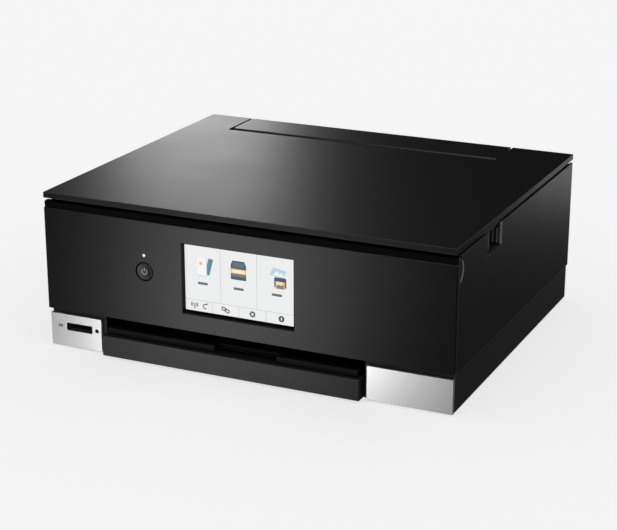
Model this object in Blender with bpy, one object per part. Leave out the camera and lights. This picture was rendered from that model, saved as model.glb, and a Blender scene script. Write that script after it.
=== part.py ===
"""Desktop all-in-one inkjet printer: flatbed scanner on top, tilting touch panel, front cassette, rear feed.

Metres, +Z up, +X to the printer's right as seen from the front, +Y from front to back. The origin is at
the centre of the bounding box's bottom face. Every sub-part is one named object; moving parts hang from
an empty that sits on their joint's axis.
"""

import math

import bmesh
import bpy
from mathutils import Vector

# Driving dimensions
WIDTH = 0.372
OVERALL_DEPTH = 0.319
BODY_DEPTH = 0.308
HEIGHT = 0.1393
CASSETTE_PROUD = 0.0042
LID_THICK = 0.005
GAP = 0.0003

# Places that follow from them
FACE_Y = -OVERALL_DEPTH / 2 + CASSETTE_PROUD
SIDE_X = WIDTH / 2
LID_UNDER = HEIGHT - LID_THICK

# Heights of the horizontal seams
FOOT_HEIGHT = 0.0012
BASE_UNDER = FOOT_HEIGHT + GAP
SKIRT_TOP = 0.033
TRIM_TOP = 0.031
PANEL_UNDER = 0.0353
PANEL_TOP = 0.126
COVER_TOP = 0.1315
DECK = (0.100, 0.104)
SCANNER_UNDER = 0.108
SCANNER_SEAM = 0.128

# Walls
COVER_WALL = 0.0022
CASE_WALL = 0.0025
FLOOR = 0.002

# Paper bay at the front, shared by the cassette, the output tray and the trims
BAY_X = (-0.1306, 0.1078)
BAY_SLACK = 0.001
PAPER_MID = (BAY_X[0] + BAY_X[1]) / 2

# Rear feed opening, shared by the flap, the lid's notch, the chute and the scanner's recess
FLAP_X = (-0.1416, 0.1264)
FLAP_FRONT = 0.264
FLAP_SIDE_GAP = 0.0018
NOTCH_FRONT = 0.2582
RECESS_X = (-0.146, 0.131)
CHUTE_X = (-0.1443, 0.1293)
CHUTE_LEAN = math.radians(12)

# Joint axes as (distance behind the panel's face, height)
PANEL_AXIS = (0.0045, 0.1198)
SCANNER_AXIS = (0.302, 0.124)
LID_AXIS = (0.304, 0.130)
ARM_AXIS = (0.190, 0.1015)
FEED_AXIS = (0.182, 0.0535)
EJECT_AXIS = (0.070, 0.0535)
BELT_HEIGHT = 0.084
SHAFT_DEPTH = 0.178
PULLEY_X = 0.158

BARREL_RADIUS = 0.0119
FEED_TEETH, EJECT_TEETH, BELT_TEETH = 24, 20, 18

# Colour, roughness and metallic value of each finish
FINISHES = {
    "gloss_black": ((0.012, 0.012, 0.013), 0.25, 0.0),
    "satin_black": ((0.018, 0.018, 0.019), 0.42, 0.0),
    "matt_black": ((0.020, 0.020, 0.021), 0.60, 0.0),
    "silver": ((0.62, 0.62, 0.63), 0.30, 0.9),
    "steel": ((0.55, 0.56, 0.57), 0.35, 1.0),
    "rubber": ((0.03, 0.03, 0.03), 0.85, 0.0),
    "glass": ((0.60, 0.68, 0.66), 0.05, 0.0),
    "white_pad": ((0.85, 0.85, 0.84), 0.70, 0.0),
    "screen": ((0.75, 0.77, 0.80), 0.10, 0.0),
    "grey_plastic": ((0.20, 0.20, 0.21), 0.55, 0.0),
    "ink_black": ((0.03, 0.03, 0.03), 0.45, 0.0),
    "ink_grey": ((0.30, 0.30, 0.32), 0.45, 0.0),
    "ink_cyan": ((0.02, 0.30, 0.55), 0.45, 0.0),
    "ink_magenta": ((0.55, 0.03, 0.25), 0.45, 0.0),
    "ink_yellow": ((0.75, 0.60, 0.03), 0.45, 0.0),
}


def depth(*distances):
    """World Y of distances behind the control panel's face."""
    places = tuple(FACE_Y + distance for distance in distances)
    return places if len(places) > 1 else places[0]


def inset(span, amount):
    """A span made smaller by the same amount at both ends."""
    return span[0] + amount, span[1] - amount


def clear_scene():
    for obj in list(bpy.data.objects):
        bpy.data.objects.remove(obj, do_unlink=True)


def make_collection(name):
    collection = bpy.data.collections.new(name)
    bpy.context.scene.collection.children.link(collection)
    return collection


def make_finishes():
    made = {}
    for name, (colour, roughness, metallic) in FINISHES.items():
        material = bpy.data.materials.new(name)
        material.use_nodes = True
        shader = material.node_tree.nodes["Principled BSDF"]
        shader.inputs["Base Color"].default_value = (*colour, 1.0)
        shader.inputs["Roughness"].default_value = roughness
        shader.inputs["Metallic"].default_value = metallic
        made[name] = material
    return made


clear_scene()
PARTS = make_collection("inkjet_printer")
CUTTERS = make_collection("cutters")
MATERIALS = make_finishes()


def joint(name, x, y, z, parent=None):
    """An empty on a joint's axis, from which the moving parts hang."""
    empty = bpy.data.objects.new(name, None)
    empty.empty_display_size = 0.01
    PARTS.objects.link(empty)
    hang(empty, Vector((x, y, z)), parent)
    return empty


def world_place(obj):
    """World position of an unturned object from its chain of parents."""
    place = Vector(obj.location)
    while obj.parent:
        obj = obj.parent
        place += obj.location
    return place


def hang(obj, place, parent):
    obj.parent = parent
    obj.location = place - world_place(parent) if parent else place


def add_object(name, data, place, finish, parent):
    obj = bpy.data.objects.new(name, data)
    PARTS.objects.link(obj)
    hang(obj, Vector(place), parent)
    data.materials.append(MATERIALS[finish])
    return obj


def box_mesh(name, size):
    mesh = bpy.data.meshes.new(name)
    shape = bmesh.new()
    bmesh.ops.create_cube(shape, size=1.0)
    bmesh.ops.scale(shape, vec=size, verts=shape.verts)
    shape.to_mesh(mesh)
    shape.free()
    return mesh


def box(name, x, y, z, finish, parent=None):
    """A block given by its (low, high) spans."""
    size = [span[1] - span[0] for span in (x, y, z)]
    middle = [sum(span) / 2 for span in (x, y, z)]
    return add_object(name, box_mesh(name, size), middle, finish, parent)


def round_mesh(name, radius, length, axis, sides):
    mesh = bpy.data.meshes.new(name)
    shape = bmesh.new()
    bmesh.ops.create_cone(
        shape, cap_ends=True, segments=sides, radius1=radius, radius2=radius, depth=length
    )
    turn = Vector((0, 0, 1)).rotation_difference(Vector(axis)).to_matrix()
    bmesh.ops.rotate(shape, cent=(0, 0, 0), matrix=turn, verts=shape.verts)
    shape.to_mesh(mesh)
    shape.free()
    mesh.shade_smooth()
    mesh.set_sharp_from_angle(angle=math.radians(40))
    return mesh


def rod(name, radius, length, axis, place, finish, parent=None, sides=24):
    """A round bar centred on a place, along an axis."""
    return add_object(name, round_mesh(name, radius, length, axis, sides), place, finish, parent)


def as_helper(obj):
    """Turns an object into a cutter or a tool for a join."""
    obj.hide_render = True
    obj.display_type = "WIRE"
    PARTS.objects.unlink(obj)
    CUTTERS.objects.link(obj)
    return obj


def combine(obj, helper, operation):
    modifier = obj.modifiers.new(helper.name, "BOOLEAN")
    modifier.operation = operation
    modifier.object = as_helper(helper)


def cut_box(obj, label, x, y, z):
    combine(obj, box(f"{obj.name}_{label}", x, y, z, "matt_black"), "DIFFERENCE")


def cut_rod(obj, label, radius, length, axis, place, sides=24):
    helper = rod(f"{obj.name}_{label}", radius, length, axis, place, "matt_black", sides=sides)
    combine(obj, helper, "DIFFERENCE")


def join_box(obj, label, x, y, z):
    combine(obj, box(f"{obj.name}_{label}", x, y, z, "matt_black"), "UNION")


def join_rod(obj, label, radius, length, axis, place, sides=24):
    helper = rod(f"{obj.name}_{label}", radius, length, axis, place, "matt_black", sides=sides)
    combine(obj, helper, "UNION")


def outline_curve(name, outlines, thickness):
    """A flat outline, with holes where a second outline lies inside the first."""
    curve = bpy.data.curves.new(name, "CURVE")
    curve.dimensions = "2D"
    curve.fill_mode = "BOTH"
    curve.extrude = thickness / 2
    for points in outlines:
        spline = curve.splines.new("POLY")
        spline.points.add(len(points) - 1)
        for point, (a, b) in zip(spline.points, points):
            point.co = (a, b, 0, 1)
        spline.use_cyclic_u = True
    return curve


def as_mesh(obj, finish):
    """The curve's solid as a welded mesh object with the same name and place."""
    bpy.context.view_layer.update()
    graph = bpy.context.evaluated_depsgraph_get()
    mesh = bpy.data.meshes.new_from_object(obj.evaluated_get(graph))
    shape = bmesh.new()
    shape.from_mesh(mesh)
    bmesh.ops.remove_doubles(shape, verts=shape.verts, dist=1e-6)
    bmesh.ops.recalc_face_normals(shape, faces=shape.faces)
    shape.to_mesh(mesh)
    shape.free()
    name, parent, place, turn = obj.name, obj.parent, obj.location.copy(), obj.rotation_euler.copy()
    bpy.data.objects.remove(obj, do_unlink=True)
    made = bpy.data.objects.new(name, mesh)
    PARTS.objects.link(made)
    made.parent, made.location, made.rotation_euler = parent, place, turn
    mesh.materials.clear()
    mesh.materials.append(MATERIALS[finish])
    return made


def side_profile(name, outlines, x, origin, finish, parent=None):
    """A solid of constant section across the printer: outlines hold (Y, Z) measured from origin."""
    curve = outline_curve(name, outlines, x[1] - x[0])
    place = (sum(x) / 2, depth(origin[0]), origin[1])
    obj = add_object(name, curve, place, finish, parent)
    obj.rotation_euler = (math.radians(90), 0, math.radians(90))
    return as_mesh(obj, finish)


def front_profile(name, outlines, y, origin, finish, parent=None):
    """A solid of constant section from front to back: outlines hold (X, Z) measured from origin."""
    curve = outline_curve(name, outlines, y[1] - y[0])
    place = (origin[0], sum(y) / 2, origin[1])
    obj = add_object(name, curve, place, finish, parent)
    obj.rotation_euler = (math.radians(90), 0, 0)
    return as_mesh(obj, finish)


def arc(radius, start, end, steps, middle=(0.0, 0.0)):
    """Points on an arc, angles in degrees, counter-clockwise from the first axis."""
    angles = [math.radians(start + (end - start) * i / steps) for i in range(steps + 1)]
    return [(middle[0] + radius * math.cos(a), middle[1] + radius * math.sin(a)) for a in angles]


def circle(radius, sides=24):
    return arc(radius, 0, 360 * (sides - 1) / sides, sides - 1)


def toothed(radius, teeth, height):
    """A belt pulley's outline: flat-topped teeth, each a quarter of the pitch up and down."""
    points = []
    for i in range(teeth):
        for share, r in ((0.0, radius - height), (0.22, radius), (0.5, radius), (0.72, radius - height)):
            a = math.tau * (i + share) / teeth
            points.append((r * math.cos(a), r * math.sin(a)))
    return points


def loop_outline(radius_a, radius_b, reach, steps=12):
    """A belt's line round two pulleys, the second one reach away along the first axis."""
    lean = math.degrees(math.acos((radius_a - radius_b) / reach))
    return arc(radius_a, lean, 360 - lean, steps) + arc(radius_b, -lean, lean, steps, (reach, 0.0))


# ---------------------------------------------------------------- outer case


def build_lower_case():
    """Open tray with the skirt round it, the cassette's bay and the opening for the rear transport cover."""
    half = SIDE_X - 0.0008
    front, back = 0.0055, 0.3060
    case = box("lower_case", (-half, half), depth(front, back), (BASE_UNDER, SKIRT_TOP), "satin_black")
    floor_top = BASE_UNDER + FLOOR
    cut_box(
        case, "hollow", (-half + CASE_WALL, half - CASE_WALL),
        depth(front + CASE_WALL, back - CASE_WALL), (floor_top, 0.05),
    )
    bay = (BAY_X[0] - BAY_SLACK, BAY_X[1] + BAY_SLACK)
    cut_box(case, "bay_mouth", bay, depth(0.0, 0.010), (floor_top, 0.05))
    cut_box(case, "transport_mouth", (-0.127, 0.102), depth(0.299, 0.309), (0.008, 0.05))
    cut_box(case, "card_mouth", (-0.1705, -0.137), depth(0.0, 0.010), (0.015, 0.025))
    rail_wall, rail_top = 0.0014, 0.021
    for label, low in (("left_rail", bay[0] - rail_wall), ("right_rail", bay[1])):
        join_box(
            case, label, (low, low + rail_wall), depth(front + 0.001, 0.290),
            (BASE_UNDER + FLOOR / 2, rail_top),
        )


def build_side_cover(side, name):
    """Upper side wall with the round seat for the panel's barrel and the notch over the scanner's grip."""
    x = tuple(sorted((side * SIDE_X, side * (SIDE_X - COVER_WALL))))
    cover = box(name, x, depth(0.0048, 0.307), (SKIRT_TOP + GAP, COVER_TOP), "satin_black")
    seat_radius = BARREL_RADIUS + 0.0007
    cut_rod(
        cover, "barrel_seat", seat_radius, 0.02, (1, 0, 0),
        (side * SIDE_X, depth(PANEL_AXIS[0]), PANEL_AXIS[1]), sides=48,
    )
    cut_box(
        cover, "grip_notch", (side * SIDE_X - 0.01, side * SIDE_X + 0.01),
        depth(0.070, 0.107), (0.1115, 0.140),
    )


def build_rear_cover():
    half = SIDE_X - COVER_WALL - GAP
    rear = box("rear_cover", (-half, half), depth(0.304, 0.3068), (SKIRT_TOP + GAP, 0.105), "satin_black")
    cut_box(rear, "transport_mouth", (-0.127, 0.102), depth(0.300, 0.310), (0.020, 0.098))
    cut_box(rear, "inlet_mouth", (-0.168, -0.146), depth(0.300, 0.310), (0.042, 0.058))
    cut_box(rear, "usb_mouth", (0.130, 0.143), depth(0.300, 0.310), (0.060, 0.072))


def build_transport_cover():
    """Rear unit that turns the cassette's paper round; it pulls straight off to clear a jam."""
    slide = joint("transport_slide", 0, depth(0.307), 0.053)
    cover = box(
        "transport_cover", (-0.1265, 0.1015), depth(0.300, 0.3148), (0.0083, 0.0977),
        "satin_black", slide,
    )
    cut_box(cover, "hollow", (-0.124, 0.099), depth(0.295, 0.312), (0.011, 0.095))


def build_sockets():
    """Mains inlet and USB socket, each set into the rear cover."""
    inlet_x, inlet_z = (-0.1677, -0.1463), (0.0423, 0.0577)
    inlet = box("power_inlet", inlet_x, depth(0.292, 0.3064), inlet_z, "matt_black")
    cut_box(inlet, "well", inset(inlet_x, 0.0025), depth(0.2955, 0.310), inset(inlet_z, 0.0025))
    middle = sum(inlet_x) / 2
    for label, offset in (("left_pin", -0.0043), ("right_pin", 0.0043)):
        join_rod(
            inlet, label, 0.0012, 0.007, (0, 1, 0),
            (middle + offset, depth(0.2975), sum(inlet_z) / 2), sides=12,
        )
    usb_x, usb_z = (0.1303, 0.1427), (0.0603, 0.0717)
    usb = box("usb_port", usb_x, depth(0.290, 0.3064), usb_z, "steel")
    cut_box(usb, "well", inset(usb_x, 0.0016), depth(0.295, 0.310), inset(usb_z, 0.0016))


def build_top_frame():
    """Inner deck round the carriage's opening, with the front wall above the paper mouth."""
    half = SIDE_X - COVER_WALL - 0.0023
    frame = box("top_frame", (-half, half), depth(0.0175, 0.303), DECK, "matt_black")
    cut_box(frame, "chute_recess", RECESS_X, depth(0.2575, 0.310), (0.09, 0.12))
    cut_box(frame, "carriage_bay", (-0.168, 0.168), depth(0.064, 0.1925), (0.09, 0.12))
    cut_box(frame, "arm_slot", (0.1725, 0.1785), depth(0.075, 0.196), (0.09, 0.12))
    join_box(frame, "front_wall", (-half, half), depth(0.0175, 0.020), (0.0315, DECK[0] + 0.001))
    cut_box(frame, "paper_mouth", (-0.129, 0.105), depth(0.010, 0.025), (0.030, 0.080))


def build_trims():
    """Bright plates on either side of the paper bay, and the card reader behind the left one."""
    half = SIDE_X - 0.0008
    y, z = depth(0.002, 0.0052), (BASE_UNDER, TRIM_TOP)
    left = box("left_trim", (-half, -0.135), y, z, "silver")
    cut_box(left, "card_mouth", (-0.1697, -0.1443), depth(0.0, 0.010), (0.0165, 0.0232))
    cut_rod(left, "lamp_hole", 0.0015, 0.02, (0, 1, 0), (-0.1393, depth(0.003), 0.0199), sides=16)
    box("right_trim", (0.1115, half), y, z, "silver")
    reader = box("card_reader", (-0.170, -0.1375), depth(0.0056, 0.034), (0.0153, 0.0247), "matt_black")
    cut_box(reader, "slot", (-0.169, -0.145), depth(0.0, 0.031), (0.0174, 0.0223))


def build_feet():
    for row, distance in (("front", 0.020), ("rear", 0.288)):
        for side, x in (("left", -0.160), ("right", 0.160)):
            rod(
                f"foot_{row}_{side}", 0.007, FOOT_HEIGHT, (0, 0, 1),
                (x, depth(distance), FOOT_HEIGHT / 2), "rubber",
            )


# ---------------------------------------------------------------- print mechanism


def build_chassis():
    """Folded sheet frame: two side plates joined by the back plate that carries the carriage's belt."""
    half, sheet = 0.172, 0.0015
    y, z = (0.062, 0.1975), (BASE_UNDER + FLOOR + GAP, 0.0995)
    chassis = box("chassis", (-half, half), depth(*y), z, "steel")
    cut_box(
        chassis, "hollow", (-half + sheet, half - sheet), depth(0.050, y[1] - sheet), (0.0, 0.12)
    )
    cut_box(chassis, "paper_gap", (-0.135, 0.1115), depth(0.190, 0.200), (0.0, 0.068))
    for label, axis in (("feed_hole", FEED_AXIS), ("eject_hole", EJECT_AXIS)):
        cut_rod(chassis, label, 0.0042, 0.40, (1, 0, 0), (0, depth(axis[0]), axis[1]), sides=16)
    cut_rod(
        chassis, "motor_hole", 0.003, 0.02, (0, 1, 0), (PULLEY_X, depth(0.197), BELT_HEIGHT), sides=12
    )


def build_fixed_mechanism():
    rod(
        "guide_shaft", 0.004, 0.3404, (1, 0, 0), (0, depth(SHAFT_DEPTH), BELT_HEIGHT), "steel"
    )
    platen = box("platen", (-0.1702, 0.1007), depth(0.0765, 0.1735), (0.050, 0.0585), "matt_black")
    rib_count, rib_wide, rib_high = 12, 0.0022, 0.0007
    for i in range(rib_count):
        x = PAPER_MID + (i - (rib_count - 1) / 2) * 0.018
        join_box(
            platen, f"rib_{i}", (x - rib_wide / 2, x + rib_wide / 2), depth(0.079, 0.171),
            (0.058, 0.0585 + rib_high),
        )
    purge = box("purge_unit", (0.1013, 0.168), depth(0.095, 0.172), (0.036, 0.0575), "grey_plastic")
    join_box(purge, "leg", (0.112, 0.168), depth(0.097, 0.170), (BASE_UNDER + FLOOR + GAP, 0.037))
    join_box(purge, "cap", (0.108, 0.150), depth(0.105, 0.155), (0.057, 0.0598))
    rod(
        "carriage_motor", 0.013, 0.026, (0, 1, 0), (PULLEY_X, depth(0.2115), BELT_HEIGHT), "steel",
        sides=32,
    )
    rod("feed_motor", 0.014, 0.026, (1, 0, 0), (-0.155, depth(0.225), 0.080), "steel", sides=32)
    box("power_supply", (-0.180, -0.138), depth(0.203, 0.289), (0.0042, 0.060), "grey_plastic")


def build_roller(name, axis, rubber_radius, shaft_radius, hub):
    """A paper roller: steel shaft with rubber sleeves, and a toothed pulley on its left end."""
    hinge = joint(f"{name}_spin", 0, depth(axis[0]), axis[1])
    ends, mid = (-0.1812, 0.1735), depth(axis[0])
    centre = ((ends[0] + ends[1]) / 2, mid, axis[1])
    roller = rod(name, shaft_radius, ends[1] - ends[0], (1, 0, 0), centre, "rubber", hinge, sides=16)
    sleeves = 4
    pitch = (BAY_X[1] - BAY_X[0]) / sleeves
    for i in range(sleeves):
        x = BAY_X[0] + pitch * (i + 0.5)
        join_rod(roller, f"sleeve_{i}", rubber_radius, pitch * 0.7, (1, 0, 0), (x, mid, axis[1]))
    radius, teeth = hub
    side_profile(
        name.replace("roller", "pulley"), [toothed(radius, teeth, 0.0009), circle(shaft_radius + GAP, 16)],
        (-0.180, -0.175), axis, "grey_plastic", hinge,
    )


def build_feed_train():
    feed_radius, eject_radius, belt_gap, belt_thick = 0.012, 0.010, 0.0004, 0.0012
    build_roller("feed_roller", FEED_AXIS, 0.0060, 0.0030, (feed_radius, FEED_TEETH))
    build_roller("eject_roller", EJECT_AXIS, 0.0050, 0.0026, (eject_radius, EJECT_TEETH))
    reach = FEED_AXIS[0] - EJECT_AXIS[0]
    inner = loop_outline(eject_radius + belt_gap, feed_radius + belt_gap, reach)
    outer = loop_outline(
        eject_radius + belt_gap + belt_thick, feed_radius + belt_gap + belt_thick, reach
    )
    side_profile("feed_belt", [outer, inner], (-0.1795, -0.1755), EJECT_AXIS, "rubber")


def build_carriage_belt():
    """Toothed belt between a driven and an idle pulley, in front of the chassis's back plate."""
    radius, belt_gap, belt_thick = 0.0075, 0.0004, 0.0012
    y = depth(0.1885, 0.1945)
    for name, x in (("drive_pulley", PULLEY_X), ("idler_pulley", -PULLEY_X)):
        hinge = joint(f"{name}_spin", x, sum(y) / 2, BELT_HEIGHT)
        pulley = front_profile(
            name, [toothed(radius, BELT_TEETH, 0.0007)], y, (x, BELT_HEIGHT), "steel", hinge
        )
        if x > 0:
            shaft_place = (x, depth(0.1958), BELT_HEIGHT)
            join_rod(pulley, "shaft", 0.002, 0.004, (0, 1, 0), shaft_place, sides=12)
    reach = 2 * PULLEY_X
    inner = loop_outline(radius + belt_gap, radius + belt_gap, reach)
    outer = loop_outline(radius + belt_gap + belt_thick, radius + belt_gap + belt_thick, reach)
    front_profile("timing_belt", [outer, inner], inset(y, 0.0005), (-PULLEY_X, BELT_HEIGHT), "rubber")


def build_carriage():
    """Carriage on its shaft, with the print head and six ink tanks in it, parked at the right."""
    park = joint("carriage_slide", 0.112, depth(SHAFT_DEPTH), BELT_HEIGHT)
    x, well = (0.058, 0.166), (0.061, 0.163)
    carriage = box("carriage", x, depth(0.090, 0.186), (0.064, 0.092), "matt_black", park)
    cut_box(carriage, "well", well, depth(0.094, 0.166), (0.050, 0.100))
    cut_rod(
        carriage, "shaft_bore", 0.0044, 0.13, (1, 0, 0),
        (sum(x) / 2, depth(SHAFT_DEPTH), BELT_HEIGHT),
    )
    box("print_head", inset(well, GAP), depth(0.0943, 0.1657), (0.0610, 0.0740), "grey_plastic", park)
    wide, narrow = 0.0210, 0.0157
    tanks = [
        ("pigment_black", wide, "ink_black"), ("photo_grey", narrow, "ink_grey"),
        ("cyan", narrow, "ink_cyan"), ("magenta", narrow, "ink_magenta"),
        ("yellow", narrow, "ink_yellow"), ("dye_black", narrow, "ink_black"),
    ]
    left = well[0] + GAP
    for colour, tank_wide, finish in tanks:
        tank = box(
            f"ink_tank_{colour}", (left, left + tank_wide), depth(0.0945, 0.1655), (0.0744, 0.100),
            finish, park,
        )
        join_box(
            tank, "grip", inset((left, left + tank_wide), 0.003), depth(0.097, 0.112),
            (0.099, 0.1028),
        )
        left += tank_wide + GAP


# ---------------------------------------------------------------- scanner and lid


def u_plate(name, front, back, z, finish, parent):
    """A plate or tub as wide as the body, with the rear feed's recess cut out of its back edge."""
    half = SIDE_X - COVER_WALL - 0.001
    obj = box(name, (-half, half), depth(front, back), z, finish, parent)
    cut_box(obj, "chute_recess", RECESS_X, depth(0.257, back + 0.005), (z[0] - 0.01, z[1] + 0.01))
    return obj


def build_scanner():
    hinge = joint("scanner_hinge", 0, depth(SCANNER_AXIS[0]), SCANNER_AXIS[1])
    front, back = 0.018, 0.306
    tub = u_plate("scanner_base", front, back, (SCANNER_UNDER, SCANNER_SEAM), "satin_black", hinge)
    floor_top = SCANNER_UNDER + FLOOR
    cut_box(tub, "hollow", (-0.1725, 0.1725), depth(front + CASE_WALL, 0.2545), (floor_top, 0.14))
    cut_box(tub, "left_lobe", (-0.1803, -0.1485), depth(0.2595, 0.2965), (floor_top, 0.14))
    cut_box(tub, "right_lobe", (0.1335, 0.1803), depth(0.2595, 0.2965), (floor_top, 0.14))
    for label, side in (("left_grip", -1), ("right_grip", 1)):
        x = tuple(sorted((side * 0.1755, side * 0.190)))
        cut_box(tub, label, x, depth(0.068, 0.109), (0.1105, 0.14))
    frame = u_plate(
        "scanner_frame", front, back, (SCANNER_SEAM + GAP, COVER_TOP), "satin_black", hinge
    )
    cut_box(frame, "window", (-0.150, 0.150), depth(0.024, 0.242), (0.12, 0.14))
    for obj in (tub, frame):
        for label, x in (("left_hinge_slot", (-0.169, -0.159)), ("right_hinge_slot", (0.151, 0.161))):
            cut_box(obj, label, x, depth(0.2985, 0.310), (0.1245, 0.14))
    box(
        "platen_glass", (-0.158, 0.158), depth(0.0215, 0.250),
        (SCANNER_SEAM - 0.0022, SCANNER_SEAM), "glass", hinge,
    )
    slide = joint("scan_bar_slide", -0.160, depth(0.135), 0.119, hinge)
    box("scan_bar", (-0.169, -0.151), depth(0.024, 0.247), (0.1125, 0.1253), "matt_black", slide)
    return hinge


def build_lid(scanner_hinge):
    hinge = joint("lid_hinge", 0, depth(LID_AXIS[0]), LID_AXIS[1], scanner_hinge)
    lid = box(
        "document_lid", (-SIDE_X, SIDE_X), depth(0.0, BODY_DEPTH), (LID_UNDER, HEIGHT),
        "satin_black", hinge,
    )
    notch = inset(FLAP_X, -FLAP_SIDE_GAP)
    cut_box(lid, "flap_notch", notch, depth(NOTCH_FRONT, BODY_DEPTH + 0.01), (0.12, 0.15))
    for label, x in (("left_arm", (-0.168, -0.160)), ("right_arm", (0.152, 0.160))):
        join_box(lid, label, x, depth(0.3005, 0.3075), (0.127, LID_UNDER + 0.001))
    box("lid_pad", (-0.149, 0.149), depth(0.025, 0.241), (0.1284, LID_UNDER - GAP), "white_pad", hinge)


def build_support_arm():
    """Prop beside the carriage bay; it swings up twice as fast as the scanner opens."""
    hinge = joint("arm_hinge", 0.1755, depth(ARM_AXIS[0]), ARM_AXIS[1])
    length, radius = 0.108, 0.003
    outline = arc(radius, -90, 90, 8) + arc(radius, 90, 270, 8, (-length, 0.0))
    side_profile("support_arm", [outline], (0.1735, 0.1775), ARM_AXIS, "steel", hinge)


# ---------------------------------------------------------------- control panel


def build_panel():
    hinge = joint("panel_hinge", 0, depth(PANEL_AXIS[0]), PANEL_AXIS[1])
    fascia_thick = 0.0042
    fascia = box(
        "panel_fascia", (-SIDE_X, SIDE_X), depth(0.0, fascia_thick), (PANEL_UNDER, PANEL_TOP),
        "gloss_black", hinge,
    )
    cut_box(fascia, "window", (-0.0536, 0.0486), depth(-0.01, 0.01), (0.0506, 0.1114))
    button = (-0.0894, 0.0818)
    cut_rod(
        fascia, "button_hole", 0.0081, 0.03, (0, 1, 0), (button[0], depth(0.002), button[1]), sides=32
    )

    back_face = fascia_thick + GAP
    lip_face, lip_under = 0.0010, PANEL_TOP + GAP
    rise = math.degrees(math.acos((lip_face - PANEL_AXIS[0]) / BARREL_RADIUS))
    drop = -math.degrees(math.acos((back_face - PANEL_AXIS[0]) / BARREL_RADIUS))
    barrel = arc(BARREL_RADIUS, drop, rise, 20)
    barrel += [
        (lip_face - PANEL_AXIS[0], lip_under - PANEL_AXIS[1]),
        (back_face - PANEL_AXIS[0], lip_under - PANEL_AXIS[1]),
    ]
    end = SIDE_X - 0.0004
    back = side_profile("panel_back", [barrel], (-end, end), PANEL_AXIS, "satin_black", hinge)
    inner = SIDE_X - COVER_WALL - 0.001
    housing = [(0.0046, 0.0365), (0.0090, 0.0365), (0.0130, 0.0440), (0.0140, 0.1190), (0.0046, 0.1190)]
    shell = side_profile("panel_back_housing", [housing], (-inner, inner), (0, 0), "satin_black")
    combine(back, shell, "UNION")
    cut_box(back, "hollow", (-0.165, 0.165), depth(0.001, 0.011), (0.042, 0.1145))

    box(
        "touch_screen", (-0.0575, 0.0500), depth(back_face, 0.0085), (0.0484, 0.1136), "screen", hinge
    )
    press = joint("button_slide", button[0], depth(0.0), button[1], hinge)
    rod(
        "power_button", 0.0076, 0.0058, (0, 1, 0), (button[0], depth(0.0031), button[1]),
        "gloss_black", press, sides=32,
    )


# ---------------------------------------------------------------- paper trays


def build_output_tray():
    """Tray that catches the prints, with an extension that is drawn out by the notch in the tray's lip."""
    notch = (-0.0255, 0.0320)
    slide = joint("output_slide", PAPER_MID, depth(0.001), 0.023)
    tray = box("output_tray", (-0.128, 0.104), depth(0.001, 0.165), (0.0206, 0.0254), "satin_black", slide)
    cut_box(tray, "notch", notch, depth(-0.005, 0.0095), (0.015, 0.030))
    cut_box(tray, "pocket", notch, depth(0.005, 0.152), (0.0216, 0.0244))
    stage = joint("extension_slide", sum(notch) / 2, depth(0.0105), 0.023, slide)
    box(
        "output_extension", inset(notch, 0.0004), depth(0.0105, 0.150), (0.0219, 0.0241),
        "satin_black", stage,
    )


def build_cassette():
    slide = joint("cassette_slide", PAPER_MID, depth(0.010), 0.010)
    tray = box("cassette_tray", BAY_X, depth(0.0094, 0.252), (0.0056, 0.0196), "matt_black", slide)
    cut_box(tray, "hollow", inset(BAY_X, 0.002), depth(0.0, 0.250), (0.0072, 0.03))
    stage = joint("cassette_front_slide", PAPER_MID, depth(0.0), 0.010, slide)
    face = box(
        "cassette_front", BAY_X, depth(-CASSETTE_PROUD, 0.009), (BASE_UNDER, 0.020), "satin_black", stage
    )
    cut_box(face, "floor_rebate", (-0.2, 0.2), depth(0.0052, 0.012), (0.0, 0.0038))
    join_box(face, "tongue", (-0.115, 0.092), depth(0.008, 0.110), (0.0039, 0.0053))
    half_sheet, fin, foot = 0.1055, 0.0021, 0.036
    for name, side in (("cassette_guide_left", -1), ("cassette_guide_right", 1)):
        inner_x = PAPER_MID + side * half_sheet
        guide_slide = joint(f"{name}_slide", inner_x, depth(0.145), 0.008, slide)
        x = tuple(sorted((inner_x, inner_x + side * fin)))
        guide = box(name, x, depth(0.090, 0.200), (0.0075, 0.0185), "grey_plastic", guide_slide)
        foot_x = tuple(sorted((inner_x + side * fin / 2, inner_x - side * foot)))
        join_box(guide, "foot", foot_x, depth(0.120, 0.170), (0.0075, 0.0087))


# ---------------------------------------------------------------- rear feed


def lean_at(distance, height, z):
    """Distance behind the panel's face, at height z, of a leaning line through (distance, height)."""
    return distance + (z - height) * math.tan(CHUTE_LEAN)


def leaning_plate(front, thickness, height, z):
    """Outline of a plate that leans as the chute's back does; front is its place at the given height."""
    return [
        (lean_at(distance, height, level), level)
        for distance, level in (
            (front, z[0]), (front + thickness, z[0]), (front + thickness, z[1]), (front, z[1])
        )
    ]


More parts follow.
